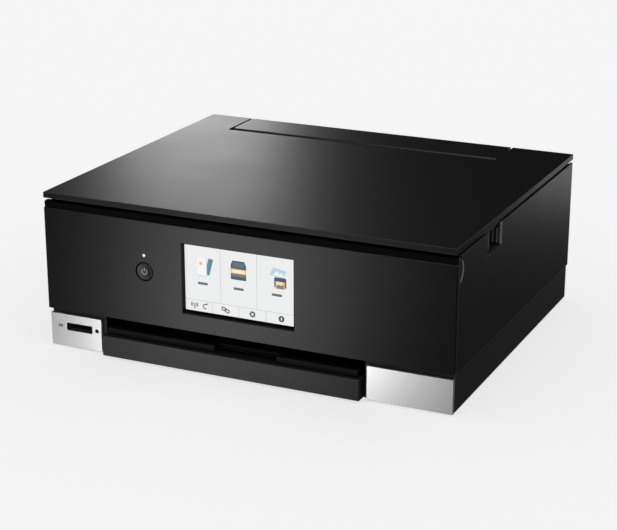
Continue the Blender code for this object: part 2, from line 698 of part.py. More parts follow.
def build_chute():
    """Fixed feed chute: a leaning back that the paper rests on, with a slot for the support behind it."""
    under, seam, above, below = 0.062, 0.1053, 0.150, 0.050
    outer = [
        (0.259, COVER_TOP), (0.259, under), (0.279, under),
        (lean_at(0.279, under, seam), seam), (0.3068, seam), (0.3068, COVER_TOP),
    ]
    chute = side_profile("rear_tray", [outer], CHUTE_X, (0, 0), "matt_black")
    hollow = [
        (0.2615, above), (0.2615, 0.068), (0.264, below), (lean_at(0.268, under, below), below),
        (lean_at(0.268, under, above), above),
    ]
    cutter = side_profile("rear_tray_hollow", [hollow], inset(CHUTE_X, 0.003), (0, 0), "matt_black")
    combine(chute, cutter, "DIFFERENCE")
    slot_front, slot_wide = 0.271, 0.0036
    slot = leaning_plate(slot_front, slot_wide, under, (below, above))
    support_x = (-0.110, 0.095)
    cutter = side_profile("rear_tray_slot", [slot], inset(support_x, -0.0025), (0, 0), "matt_black")
    combine(chute, cutter, "DIFFERENCE")
    cut_box(chute, "rear_hollow", (-0.132, 0.117), depth(0.2925, 0.3043), (0.100, 0.1290))
    for label, span in (("left_lug", (-0.1407, -0.1353)), ("right_lug", (0.1203, 0.1257))):
        cut_box(chute, label, span, depth(0.2985, 0.310), (0.1245, 0.140))

    support_slide = joint("support_slide", PAPER_MID, depth(slot_front), under)
    play = 0.0005
    plate = leaning_plate(slot_front + play, slot_wide - 2 * play, under, (0.014, 0.100))
    support = side_profile("paper_support", [plate], support_x, (0, 0), "matt_black")
    hang(support, world_place(support), support_slide)


def build_rear_guides():
    half_sheet, fin = 0.1085, 0.0022
    outline = [(0.2692, 0.072), (0.2812, 0.129), (0.2660, 0.129), (0.2635, 0.112), (0.2635, 0.078)]
    for name, side in (("rear_guide_left", -1), ("rear_guide_right", 1)):
        inner_x = PAPER_MID + side * half_sheet
        slide = joint(f"{name}_slide", inner_x, depth(0.270), 0.1)
        x = tuple(sorted((inner_x, inner_x + side * fin)))
        guide = side_profile(name, [outline], x, (0, 0), "grey_plastic")
        hang(guide, world_place(guide), slide)


def build_flap():
    """Cover over the rear feed; it swings up and back about an axis under its rear edge."""
    hinge = joint("flap_hinge", 0, depth(LID_AXIS[0]), LID_AXIS[1])
    under = LID_UNDER + 0.0005
    flap = box(
        "rear_tray_cover", FLAP_X, depth(FLAP_FRONT, BODY_DEPTH), (under, HEIGHT), "satin_black", hinge
    )
    for label, span in (("left_lug", (-0.140, -0.136)), ("right_lug", (0.121, 0.125))):
        join_box(flap, label, span, depth(0.3010, 0.3065), (0.1275, under + 0.001))


def main():
    build_lower_case()
    build_side_cover(-1, "left_side_cover")
    build_side_cover(1, "right_side_cover")
    build_rear_cover()
    build_transport_cover()
    build_sockets()
    build_top_frame()
    build_trims()
    build_feet()
    build_chassis()
    build_fixed_mechanism()
    build_feed_train()
    build_carriage_belt()
    build_carriage()
    build_lid(build_scanner())
    build_support_arm()
    build_panel()
    build_output_tray()
    build_cassette()
    build_chute()
    build_rear_guides()
    build_flap()
    bpy.context.view_layer.update()


main()
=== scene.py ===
"""Looks of a desktop all-in-one inkjet printer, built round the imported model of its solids.

The frame is in metres, +Z up and +Y from front to back. Every size inside the classes is in millimetres, as
(x, depth, height): x to the printer's right, depth behind the control panel's face, height above the table.
"""

import logging
import math
from dataclasses import dataclass, field
from enum import Enum
from functools import cache
from typing import Any, Callable, Iterable, Sequence

import bmesh
import bpy
from mathutils import Matrix, Vector


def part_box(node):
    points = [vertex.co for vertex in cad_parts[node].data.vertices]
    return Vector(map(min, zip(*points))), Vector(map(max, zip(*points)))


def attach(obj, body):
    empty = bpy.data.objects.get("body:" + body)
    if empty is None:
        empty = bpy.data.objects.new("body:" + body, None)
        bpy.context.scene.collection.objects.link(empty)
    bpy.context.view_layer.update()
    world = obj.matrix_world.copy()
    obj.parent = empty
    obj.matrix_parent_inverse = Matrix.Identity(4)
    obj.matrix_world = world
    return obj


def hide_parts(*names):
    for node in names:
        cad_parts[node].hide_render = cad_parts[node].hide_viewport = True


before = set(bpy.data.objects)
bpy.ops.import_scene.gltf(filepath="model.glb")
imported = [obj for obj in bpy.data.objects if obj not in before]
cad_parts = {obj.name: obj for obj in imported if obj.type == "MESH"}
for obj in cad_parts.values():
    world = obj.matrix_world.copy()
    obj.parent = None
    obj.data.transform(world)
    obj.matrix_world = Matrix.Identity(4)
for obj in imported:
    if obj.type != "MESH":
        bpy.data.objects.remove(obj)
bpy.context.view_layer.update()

LOG = logging.getLogger("printer")
MM = 0.001
FACE_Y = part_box("panel_fascia")[0].y

Colour = tuple[float, float, float]
Place = tuple[float, float, float]
Span = tuple[float, float]
Outline = Sequence[Span]


def at(x: float, depth: float, height: float) -> Vector:
    """Place in the frame, in metres, of millimetres across, behind the panel's face and above the table."""
    return Vector((x * MM, FACE_Y + depth * MM, height * MM))


class Slot(str, Enum):
    """Material slots of the printer's record."""

    GLOSS_BLACK = "gloss_black"
    SATIN_BLACK = "satin_black"
    TEXTURED_BLACK = "textured_black"
    MATT_BLACK = "matt_black"
    SILVER = "silver_trim"
    STEEL = "steel"
    RUBBER = "rubber"
    GLASS = "glass"
    WHITE_PAD = "white_pad"
    SCREEN = "screen"
    GREY = "grey_plastic"
    INK_PIGMENT_BLACK = "ink_pigment_black"
    INK_GREY = "ink_photo_grey"
    INK_CYAN = "ink_cyan"
    INK_MAGENTA = "ink_magenta"
    INK_YELLOW = "ink_yellow"
    INK_DYE_BLACK = "ink_dye_black"


class Axis(Enum):
    """Directions of a prism or of a round piece."""

    ACROSS = 0
    DEPTH = 1
    UP = 2


@dataclass(frozen=True)
class Region:
    """Spans of a solid of the frame, in millimetres."""

    x: Span
    depth: Span
    z: Span

    @classmethod
    def of(cls, node: str) -> "Region":
        """Reads the spans of a solid.

        Args:
            node: name of the solid.

        Returns:
            Its region.
        """
        low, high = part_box(node)
        return cls(
            (low.x / MM, high.x / MM),
            ((low.y - FACE_Y) / MM, (high.y - FACE_Y) / MM),
            (low.z / MM, high.z / MM),
        )


# ---------------------------------------------------------------- node trees


class NodeWriter:
    """Adds nodes to one tree and links them as it goes."""

    def __init__(self, tree: bpy.types.NodeTree) -> None:
        """Keeps the tree that is written."""
        self.tree = tree

    def add(self, kind: str, inputs: dict[Any, Any] | None = None, **settings: Any) -> bpy.types.Node:
        """Adds one node.

        Args:
            kind: node type.
            inputs: values, or output sockets to link from, by the input's name or number.
            settings: the node's own properties.

        Returns:
            The new node.
        """
        node = self.tree.nodes.new(kind)
        for name, value in settings.items():
            setattr(node, name, value)
        for key, value in (inputs or {}).items():
            self.feed(node.inputs[key], value)
        return node

    def feed(self, socket: bpy.types.NodeSocket, value: Any) -> None:
        """Links an output socket to an input, or sets the input's value.

        Args:
            socket: the input.
            value: what goes into it.
        """
        if isinstance(value, bpy.types.NodeSocket):
            self.tree.links.new(value, socket)
        else:
            socket.default_value = value


Group = tuple[bpy.types.NodeTree, NodeWriter, Any, bpy.types.Node]


def make_group(kind: str, name: str, inputs: dict[str, tuple[str, Any]], outputs: dict[str, str]) -> Group:
    """Starts a node group with named sockets.

    Args:
        kind: type of the tree.
        name: name of the group.
        inputs: socket type and default by name.
        outputs: socket type by name.

    Returns:
        The tree, its writer, the input node's sockets and the output node.
    """
    tree = bpy.data.node_groups.new(name, kind)
    for label, (socket_type, default) in inputs.items():
        socket = tree.interface.new_socket(label, in_out="INPUT", socket_type=socket_type)
        if default is not None:
            socket.default_value = default
    for label, socket_type in outputs.items():
        tree.interface.new_socket(label, in_out="OUTPUT", socket_type=socket_type)
    writer = NodeWriter(tree)
    source = writer.add("NodeGroupInput")
    return tree, writer, source.outputs, writer.add("NodeGroupOutput")


FLOAT, VECTOR, COLOUR = "NodeSocketFloat", "NodeSocketVector", "NodeSocketColor"


@cache
def grain_group() -> bpy.types.NodeTree:
    """Spark-eroded mould texture: fine pits over a slower swell, as a height.

    Returns:
        The tree.
    """
    tree, w, given, sink = make_group(
        "ShaderNodeTree", "mould_grain", {"Vector": (VECTOR, None), "Size": (FLOAT, 0.001)}, {"Height": FLOAT}
    )
    scale = w.add("ShaderNodeMath", {0: 1.0, 1: given["Size"]}, operation="DIVIDE").outputs[0]
    fine = w.add("ShaderNodeTexNoise", {"Vector": given["Vector"], "Scale": scale, "Detail": 3.0})
    pits = w.add("ShaderNodeTexVoronoi", {"Vector": given["Vector"], "Scale": scale, "Smoothness": 0.6},
                 feature="SMOOTH_F1")
    both = w.add("ShaderNodeMix", {0: 0.45, 2: fine.outputs[0], 3: pits.outputs["Distance"]})
    w.feed(sink.inputs["Height"], both.outputs[0])
    return tree


@cache
def drift_group() -> bpy.types.NodeTree:
    """Colour that drifts a little darker and lighter over the surface.

    Returns:
        The tree.
    """
    tree, w, given, sink = make_group(
        "ShaderNodeTree", "colour_drift",
        {"Vector": (VECTOR, None), "Colour": (COLOUR, None), "Spread": (FLOAT, 0.1), "Size": (FLOAT, 0.03)},
        {"Colour": COLOUR},
    )
    scale = w.add("ShaderNodeMath", {0: 1.0, 1: given["Size"]}, operation="DIVIDE").outputs[0]
    noise = w.add("ShaderNodeTexNoise", {"Vector": given["Vector"], "Scale": scale, "Detail": 4.0})
    swing = w.add("ShaderNodeMath", {0: noise.outputs[0], 1: 0.5}, operation="SUBTRACT").outputs[0]
    share = w.add("ShaderNodeMath", {0: swing, 1: given["Spread"], 2: 1.0}, operation="MULTIPLY_ADD")
    tinted = w.add("ShaderNodeVectorMath", {0: given["Colour"], "Scale": share.outputs[0]}, operation="SCALE")
    w.feed(sink.inputs["Colour"], tinted.outputs[0])
    return tree


@cache
def smudge_group() -> bpy.types.NodeTree:
    """Roughness with faint handling marks and a slow change of sheen.

    Returns:
        The tree.
    """
    tree, w, given, sink = make_group(
        "ShaderNodeTree", "handling_marks",
        {"Vector": (VECTOR, None), "Roughness": (FLOAT, 0.4), "Spread": (FLOAT, 0.05), "Size": (FLOAT, 0.04)},
        {"Roughness": FLOAT},
    )
    scale = w.add("ShaderNodeMath", {0: 1.0, 1: given["Size"]}, operation="DIVIDE").outputs[0]
    noise = w.add("ShaderNodeTexNoise", {"Vector": given["Vector"], "Scale": scale, "Detail": 5.0})
    swing = w.add("ShaderNodeMath", {0: noise.outputs[0], 1: 0.5}, operation="SUBTRACT").outputs[0]
    rough = w.add("ShaderNodeMath", {0: swing, 1: given["Spread"], 2: given["Roughness"]},
                  operation="MULTIPLY_ADD")
    w.feed(sink.inputs["Roughness"], rough.outputs[0])
    return tree


@cache
def edge_highlight_group() -> bpy.types.NodeTree:
    """Mask of the outer edges, where the colour is lightened as a painted highlight.

    Returns:
        The tree.
    """
    tree, w, given, sink = make_group(
        "ShaderNodeTree", "painted_edge_highlight", {"Radius": (FLOAT, 0.0006), "Gain": (FLOAT, 2.0)}, {"Mask": FLOAT}
    )
    eased = w.add("ShaderNodeBevel", {"Radius": given["Radius"]}, samples=4)
    plain = w.add("ShaderNodeNewGeometry")
    same = w.add("ShaderNodeVectorMath", {0: eased.outputs[0], 1: plain.outputs["Normal"]},
                 operation="DOT_PRODUCT").outputs["Value"]
    turn = w.add("ShaderNodeMath", {0: 1.0, 1: same}, operation="SUBTRACT").outputs[0]
    mask = w.add("ShaderNodeMath", {0: turn, 1: given["Gain"]}, operation="MULTIPLY", use_clamp=True)
    w.feed(sink.inputs["Mask"], mask.outputs[0])
    return tree


@cache
def brushing_group() -> bpy.types.NodeTree:
    """Long fine lines, as left by brushing or drawing metal, as a height.

    Returns:
        The tree.
    """
    tree, w, given, sink = make_group(
        "ShaderNodeTree", "brushing", {"Vector": (VECTOR, None), "Stretch": (VECTOR, (20.0, 900.0, 900.0))},
        {"Height": FLOAT},
    )
    lines = w.add("ShaderNodeVectorMath", {0: given["Vector"], 1: given["Stretch"]}, operation="MULTIPLY")
    noise = w.add("ShaderNodeTexNoise", {"Vector": lines.outputs[0], "Scale": 1.0, "Detail": 2.0})
    w.feed(sink.inputs["Height"], noise.outputs[0])
    return tree


# ---------------------------------------------------------------- finishes


@dataclass(frozen=True)
class Finish:
    """A moulded, painted or printed surface. Grain and drift sizes are in millimetres."""

    name: str
    slot: Slot
    colour: Colour
    roughness: float = 0.45
    grain: float = 0.6
    grain_depth: float = 0.010
    drift: float = 0.25
    smudge: float = 0.06
    # share of the painted highlight that lightens the colour along the outer edges
    edge: float = 0.0
    metallic: float = 0.0
    coat: float = 0.0
    specular: float = 0.5
    glow: float = 0.0
    brushed: tuple[float, float, float] | None = None
    transmission: float = 0.0

    def group(self, w: NodeWriter, tree: bpy.types.NodeTree, inputs: dict[str, Any]) -> bpy.types.Node:
        """Places a shared effect in this finish's material.

        Args:
            w: writer of the material's tree.
            tree: the effect.
            inputs: its inputs by name.

        Returns:
            The new node.
        """
        node = w.add("ShaderNodeGroup", node_tree=tree)
        for label, value in inputs.items():
            w.feed(node.inputs[label], value)
        return node

    def material(self) -> bpy.types.Material:
        """The finish's material, made once.

        Returns:
            The material.
        """
        if self.name in bpy.data.materials:
            return bpy.data.materials[self.name]
        made = bpy.data.materials.new(self.name)
        made.use_nodes = True
        tree = made.node_tree
        w = NodeWriter(tree)
        shader = tree.nodes["Principled BSDF"]
        place = w.add("ShaderNodeTexCoord").outputs["Object"]
        tint = self.group(w, drift_group(), {
            "Vector": place, "Colour": (*self.colour, 1.0), "Spread": self.drift, "Size": 0.035,
        }).outputs[0]
        rough = self.group(w, smudge_group(), {
            "Vector": place, "Roughness": self.roughness, "Spread": self.smudge, "Size": 0.045,
        }).outputs[0]
        # lightens the colour along the outer edges: a painted edge highlight
        if self.edge:
            mask = self.group(w, edge_highlight_group(), {"Radius": 0.0013, "Gain": 3.0}).outputs[0]
            lighter = tuple(min(1.0, c * 2.2 + 0.14) for c in self.colour)
            share = w.add("ShaderNodeMath", {0: mask, 1: self.edge}, operation="MULTIPLY").outputs[0]
            tint = w.add("ShaderNodeMix", {0: share, 6: tint, 7: (*lighter, 1.0)}, data_type="RGBA").outputs[2]
        w.feed(shader.inputs["Base Color"], (0.01, 0.01, 0.01, 1.0) if self.glow else tint)
        w.feed(shader.inputs["Roughness"], rough)
        if self.brushed:
            height = self.group(w, brushing_group(), {"Vector": place, "Stretch": self.brushed}).outputs[0]
        else:
            height = self.group(w, grain_group(), {"Vector": place, "Size": self.grain * MM}).outputs[0]
        bump = w.add("ShaderNodeBump", {"Height": height, "Distance": self.grain_depth * MM, "Strength": 1.0})
        w.feed(shader.inputs["Normal"], bump.outputs[0])
        shader.inputs["Metallic"].default_value = self.metallic
        shader.inputs["Specular IOR Level"].default_value = self.specular
        shader.inputs["Coat Weight"].default_value = self.coat
        shader.inputs["Coat Roughness"].default_value = 0.08
        shader.inputs["Transmission Weight"].default_value = self.transmission
        if self.glow:
            w.feed(shader.inputs["Emission Color"], tint)
            shader.inputs["Emission Strength"].default_value = self.glow
        return made


GLOSS = Finish("gloss_fascia", Slot.GLOSS_BLACK, (0.0055, 0.0055, 0.006), 0.27, 0.5, 0.001, 0.1, 0.03, 0.4)
SATIN = Finish(
    "satin_moulding", Slot.SATIN_BLACK, (0.0075, 0.0075, 0.008), 0.36, 0.45, 0.006, 0.2, 0.05, 0.45,
    specular=0.75,
)
TRAY_SATIN = Finish(
    "satin_tray", Slot.SATIN_BLACK, (0.0065, 0.0065, 0.007), 0.5, 0.45, 0.008, 0.2, 0.05, 0.3, specular=0.16,
)
# darker and duller than the case plastic: painted shade on the panel's barrel and the window's lining, and
# black print round the picture
SHADED = Finish(
    "shaded_black", Slot.MATT_BLACK, (0.0035, 0.0035, 0.004), 0.6, 0.45, 0.006, 0.2, 0.05, specular=0.08,
)
LID_SATIN = Finish("satin_lid", Slot.SATIN_BLACK, (0.004, 0.004, 0.0043), 0.41, 0.4, 0.006, 0.2, 0.04, 0.5)
SIDE_SATIN = Finish("satin_side", Slot.SATIN_BLACK, (0.020, 0.020, 0.0205), 0.38, 0.45, 0.005, 0.2, 0.05, 0.6)
TEXTURED = Finish(
    "textured_case", Slot.TEXTURED_BLACK, (0.026, 0.026, 0.0265), 0.52, 0.55, 0.020, 0.25, 0.06, 0.6,
)
MATT = Finish("matt_inner", Slot.MATT_BLACK, (0.042, 0.042, 0.043), 0.62, 0.8, 0.020, 0.3, 0.08, 0.3)
# grey far lighter than the black case: painted light on the ribs inside the grip's shade
GRIP_PAINTED_LIGHT = Finish("grip_painted_light", Slot.TEXTURED_BLACK, (0.11, 0.11, 0.112), 0.45, 0.5, 0.010, 0.2, 0.05, 0.4)
SILVER = Finish(
    "silver_paint", Slot.SILVER, (0.80, 0.80, 0.805), 0.30, 0.3, 0.002, 0.04, 0.05, metallic=0.82,
    brushed=(30.0, 900.0, 1400.0),
)
STEEL = Finish(
    "drawn_steel", Slot.STEEL, (0.56, 0.565, 0.57), 0.30, 0.4, 0.003, 0.08, 0.08, metallic=1.0,
    brushed=(25.0, 1200.0, 1200.0),
)
PRESSED = Finish(
    "plated_sheet", Slot.STEEL, (0.60, 0.605, 0.60), 0.38, 3.0, 0.004, 0.12, 0.12, metallic=1.0,
)
BRASS = Finish("gold_contact", Slot.STEEL, (0.80, 0.58, 0.24), 0.28, 0.4, 0.002, 0.1, 0.05, metallic=1.0)
RUBBER = Finish("rubber_grip", Slot.RUBBER, (0.036, 0.036, 0.036), 0.78, 0.35, 0.030, 0.3, 0.08)
GREY = Finish("grey_moulding", Slot.GREY, (0.16, 0.16, 0.165), 0.50, 0.7, 0.010, 0.15, 0.08, 0.2)
PALE = Finish("natural_acetal", Slot.GREY, (0.62, 0.61, 0.57), 0.42, 0.7, 0.006, 0.08, 0.06)
FOAM = Finish("porous_foam", Slot.WHITE_PAD, (0.80, 0.80, 0.79), 0.90, 0.5, 0.090, 0.08, 0.04)
SHEET = Finish("white_sheet", Slot.WHITE_PAD, (0.88, 0.88, 0.87), 0.42, 0.9, 0.004, 0.03, 0.05)
GLASS = Finish(
    "platen_glass_clear", Slot.GLASS, (0.93, 0.98, 0.96), 0.03, 4.0, 0.0005, 0.02, 0.02, transmission=1.0,
)
LENS = Finish("dark_lens", Slot.SCREEN, (0.004, 0.004, 0.005), 0.08, 2.0, 0.0005, 0.2, 0.02, coat=0.5)
BOARD = Finish("circuit_board", Slot.GREY, (0.012, 0.11, 0.045), 0.40, 1.6, 0.030, 0.5, 0.10, coat=0.2)
WHITE_LAMP = Finish("white_lamp", Slot.SCREEN, (0.90, 0.92, 0.95), 0.30, 1.0, 0.001, 0.02, 0.02, glow=1.1)
# grey of the printed card mark, also the painted highlights on the panel's ears and the grip's rear edge
MARK = Finish("printed_mark_and_painted_highlight", Slot.GREY, (0.27, 0.27, 0.28), 0.45, 0.4, 0.002, 0.06, 0.05)
PALE_MARK = Finish("pale_mark", Slot.GREY, (0.52, 0.52, 0.53), 0.45, 0.4, 0.002, 0.06, 0.05)


def glowing(name: str, colour: Colour, strength: float = 0.92) -> Finish:
    """A colour of the touch screen's picture, which shines by itself."""
    return Finish(name, Slot.SCREEN, colour, 0.16, 1.0, 0.0005, 0.02, 0.02, glow=strength, specular=0.3)


UI_WHITE = glowing("ui_white", (0.86, 0.865, 0.87))
UI_LINE = glowing("ui_line", (0.46, 0.48, 0.53))
UI_PAPER = glowing("ui_paper", (0.93, 0.93, 0.93))
UI_TEAL = glowing("ui_teal", (0.09, 0.22, 0.29))
UI_DEEP = glowing("ui_deep", (0.055, 0.13, 0.18))
UI_SKY = glowing("ui_sky", (0.45, 0.68, 0.80))
UI_SLATE = glowing("ui_slate", (0.030, 0.055, 0.10))
UI_ORANGE = glowing("ui_orange", (0.93, 0.42, 0.12))
UI_SAND = glowing("ui_sand", (0.95, 0.74, 0.42))
UI_GREY = glowing("ui_grey", (0.10, 0.105, 0.12))


# ---------------------------------------------------------------- shapes


class Shape:
    """A mesh under construction. Everything is given in millimetres."""

    def __init__(self) -> None:
        """Starts empty."""
        self.mesh = bmesh.new()

    def _place(self, verts: Iterable[bmesh.types.BMVert], place: Matrix) -> "Shape":
        """Moves new points by a matrix."""
        bmesh.ops.transform(self.mesh, matrix=place, verts=list(verts))
        return self

    def node(self, name: str) -> "Shape":
        """Adds a solid of the frame, with its loose triangles merged into whole faces.

        Args:
            name: name of the solid.

        Returns:
            The shape itself.
        """
        copy = bmesh.new()
        copy.from_mesh(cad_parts[name].data)
        bmesh.ops.remove_doubles(copy, verts=copy.verts, dist=2e-6)
        bmesh.ops.dissolve_limit(
            copy, angle_limit=math.radians(0.6), verts=copy.verts, edges=copy.edges,
            use_dissolve_boundaries=False,
        )
        spare = bpy.data.meshes.new("copy")
        copy.to_mesh(spare)
        copy.free()
        return self.add(spare)

    def add(self, mesh: bpy.types.Mesh) -> "Shape":
        """Adds another mesh as it lies, and removes it."""
        self.mesh.from_mesh(mesh)
        bpy.data.meshes.remove(mesh)
        return self

    def block(self, x: Span, depth: Span, z: Span) -> "Shape":
        """Adds a block between spans.

        Args:
            x: span across.
            depth: span behind the panel's face.
            z: span of heights.

        Returns:
            The shape itself.
        """
        made = bmesh.ops.create_cube(self.mesh, size=1.0)["verts"]
        middle = at(*(sum(span) / 2 for span in (x, depth, z)))
        sizes = [abs(span[1] - span[0]) * MM for span in (x, depth, z)]
        return self._place(made, Matrix.Translation(middle) @ Matrix.Diagonal((*sizes, 1.0)))

    def rod(self, start: Place, end: Place, radius: float, sides: int = 32,
            tip: float | None = None) -> "Shape":
        """Adds a round bar or cone between two places.

        Args:
            start: middle of one end.
            end: middle of the other.
            radius: radius at the start.
            sides: number of sides.
            tip: radius at the end, the same if left out.

        Returns:
            The shape itself.
        """
        a, b = at(*start), at(*end)
        made = bmesh.ops.create_cone(
            self.mesh, cap_ends=True, segments=sides, radius1=radius * MM,
            radius2=(radius if tip is None else tip) * MM, depth=(b - a).length,
        )["verts"]
        turn = Vector((0, 0, 1)).rotation_difference(b - a).to_matrix().to_4x4()
        return self._place(made, Matrix.Translation((a + b) / 2) @ turn)

    def prism(self, outline: Outline, axis: Axis, span: Span) -> "Shape":
        """Adds a solid of constant section.

        Args:
            outline: points in the two other directions, in their order across, depth, up.
            axis: direction of the section's sweep.
            span: where it starts and ends along the axis.

        Returns:
            The shape itself.
        """
        def spot(a: float, b: float, along: float) -> Vector:
            """A point of the section at a place along the axis."""
            triple = {Axis.ACROSS: (along, a, b), Axis.DEPTH: (a, along, b), Axis.UP: (a, b, along)}[axis]
            return at(*triple)

        low = self.mesh.faces.new([self.mesh.verts.new(spot(a, b, span[0])) for a, b in outline])
        made = bmesh.ops.extrude_face_region(self.mesh, geom=[low])["geom"]
        moved = [g for g in made if isinstance(g, bmesh.types.BMVert)]
        sweep = spot(*outline[0], span[1]) - spot(*outline[0], span[0])
        bmesh.ops.translate(self.mesh, vec=sweep, verts=moved)
        faces = {f for v in [*moved, *low.verts] for f in v.link_faces}
        bmesh.ops.recalc_face_normals(self.mesh, faces=list(faces))
        return self

    def turned(self, profile: Outline, centre: Place, axis: Axis, sides: int = 48) -> "Shape":
        """Adds a turned solid or ring.

        Args:
            profile: closed outline of (along the axis, radius).
            centre: where along and radius are zero.
            axis: the axis of the turn.
            sides: number of steps round.

        Returns:
            The shape itself.
        """
        along = Vector([1.0 if i == axis.value else 0.0 for i in range(3)])
        out = Vector((0, 0, 1)) if axis is not Axis.UP else Vector((1, 0, 0))
        middle = at(*centre)
        ring = [self.mesh.verts.new(middle + (along * a + out * r) * MM) for a, r in profile]
        edges = [self.mesh.edges.new((ring[i], ring[(i + 1) % len(ring)])) for i in range(len(ring))]
        bmesh.ops.spin(
            self.mesh, geom=[*ring, *edges], cent=middle, axis=along, angle=math.tau, steps=sides,
            use_merge=True, use_duplicate=False,
        )
        bmesh.ops.remove_doubles(self.mesh, verts=self.mesh.verts, dist=1e-7)
        bmesh.ops.recalc_face_normals(self.mesh, faces=self.mesh.faces)
        return self

    def ring(self, outer: Outline, inner: Outline, axis: Axis, span: Span) -> "Shape":
        """Adds a flat frame between two outlines of as many points.

        Args:
            outer: outer outline, in the two directions other than the axis.
            inner: inner outline.
            axis: direction that the frame faces.
            span: where it starts and ends along the axis.

        Returns:
            The shape itself.
        """
        def spot(a: float, b: float, along: float) -> Vector:
            """A point of an outline at a place along the axis."""
            return at(a, along, b) if axis is Axis.DEPTH else at(a, b, along)

        rings = [
            [self.mesh.verts.new(spot(a, b, along)) for a, b in outline]
            for along in span for outline in (outer, inner)
        ]
        low_out, low_in, high_out, high_in = rings
        count, faces = len(outer), []
        for a, b in ((low_out, low_in), (low_in, high_in), (high_in, high_out), (high_out, low_out)):
            faces += [
                self.mesh.faces.new((a[i], a[(i + 1) % count], b[(i + 1) % count], b[i])) for i in range(count)
            ]
        bmesh.ops.recalc_face_normals(self.mesh, faces=faces)
        return self

    def bevel(self, width: float, segments: int = 2, angle: float = 32.0,
              where: Callable[[Vector], bool] | None = None) -> "Shape":
        """Rounds the sharp edges made so far.

        Args:
            width: how far the rounding reaches.
            segments: steps of the rounding.
            angle: the least turn between two faces that counts as sharp, in degrees.
            where: picks edges by their middle, all of them if left out.

        Returns:
            The shape itself.
        """
        self.mesh.normal_update()
        sharp = [
            e for e in self.mesh.edges
            if len(e.link_faces) == 2 and e.calc_face_angle(0.0) > math.radians(angle)
            and (where is None or where((e.verts[0].co + e.verts[1].co) / 2))
        ]
        bmesh.ops.bevel(
            self.mesh, geom=sharp, offset=width * MM, offset_type="OFFSET", segments=segments, profile=0.5,
            affect="EDGES", clamp_overlap=True,
        )
        return self

    def piece(self, name: str, finish: Finish, body: str, replaces: Sequence[str] = (), smooth: float = 38.0,
              slot: Slot | None = None) -> bpy.types.Object:
        """Finishes the mesh as a piece that rides on a body.

        Args:
            name: name of the piece.
            finish: its finish.
            body: body that it rides on.
            replaces: solids of the frame that it stands for.
            smooth: faces that meet at less than this angle are shaded as one, in degrees.
            slot: not used.

        Returns:
            The piece.
        """
        mesh = bpy.data.meshes.new(name)
        self.mesh.to_mesh(mesh)
        self.mesh.free()
        mesh.materials.clear()
        mesh.materials.append(finish.material())
        mesh.shade_smooth()
        mesh.set_sharp_from_angle(angle=math.radians(smooth))
        obj = bpy.data.objects.new(name, mesh)
        bpy.context.scene.collection.objects.link(obj)
        weighted = obj.modifiers.new("flat faces lead", "WEIGHTED_NORMAL")
        weighted.keep_sharp = True
        bpy.context.view_layer.update()
        final = bpy.data.meshes.new_from_object(obj.evaluated_get(bpy.context.evaluated_depsgraph_get()))
        obj.modifiers.clear()
        obj.data = final
        bpy.data.meshes.remove(mesh)
        final.name = name
        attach(obj, body)
        if replaces:
            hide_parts(*replaces)
        LOG.info("%s: %d faces, rides on %s", name, len(final.polygons), body)
        return obj


# ---------------------------------------------------------------- repeated items


def geometry_tree(name: str, inputs: dict[str, tuple[str, Any]]) -> Group:
    """Starts a Geometry Nodes tree whose result is realised and given its material."""
    sockets = {"Geometry": ("NodeSocketGeometry", None), **inputs, "Material": ("NodeSocketMaterial", None)}
    return make_group("GeometryNodeTree", name, sockets, {"Geometry": "NodeSocketGeometry"})


def end_tree(w: NodeWriter, given: Any, sink: bpy.types.Node, geometry: bpy.types.NodeSocket) -> None:
    """Realises the instances and sets the material at a tree's end.

    Args:
        w: writer of the tree.
        given: sockets of its input node.
        sink: its output node.
        geometry: what it has made.
    """
    real = w.add("GeometryNodeRealizeInstances", {"Geometry": geometry}).outputs[0]
    dressed = w.add("GeometryNodeSetMaterial", {"Geometry": real, "Material": given["Material"]}).outputs[0]
    w.feed(sink.inputs["Geometry"], dressed)


@cache
def blocks_tree() -> bpy.types.NodeTree:
    """A block on every point: ribs, louvres, contacts, marks and chips.

    Returns:
        The tree.
    """
    tree, w, given, sink = geometry_tree("blocks_on_points", {
        "Size": (VECTOR, (0.001, 0.001, 0.001)), "Turn": (VECTOR, (0.0, 0.0, 0.0)),
    })
    item = w.add("GeometryNodeMeshCube", {"Size": given["Size"]}).outputs["Mesh"]
    turned = w.add("GeometryNodeTransform", {"Geometry": item, "Rotation": given["Turn"]}).outputs[0]
    spread = w.add("GeometryNodeInstanceOnPoints", {"Points": given["Geometry"], "Instance": turned})
    end_tree(w, given, sink, spread.outputs[0])
    return tree


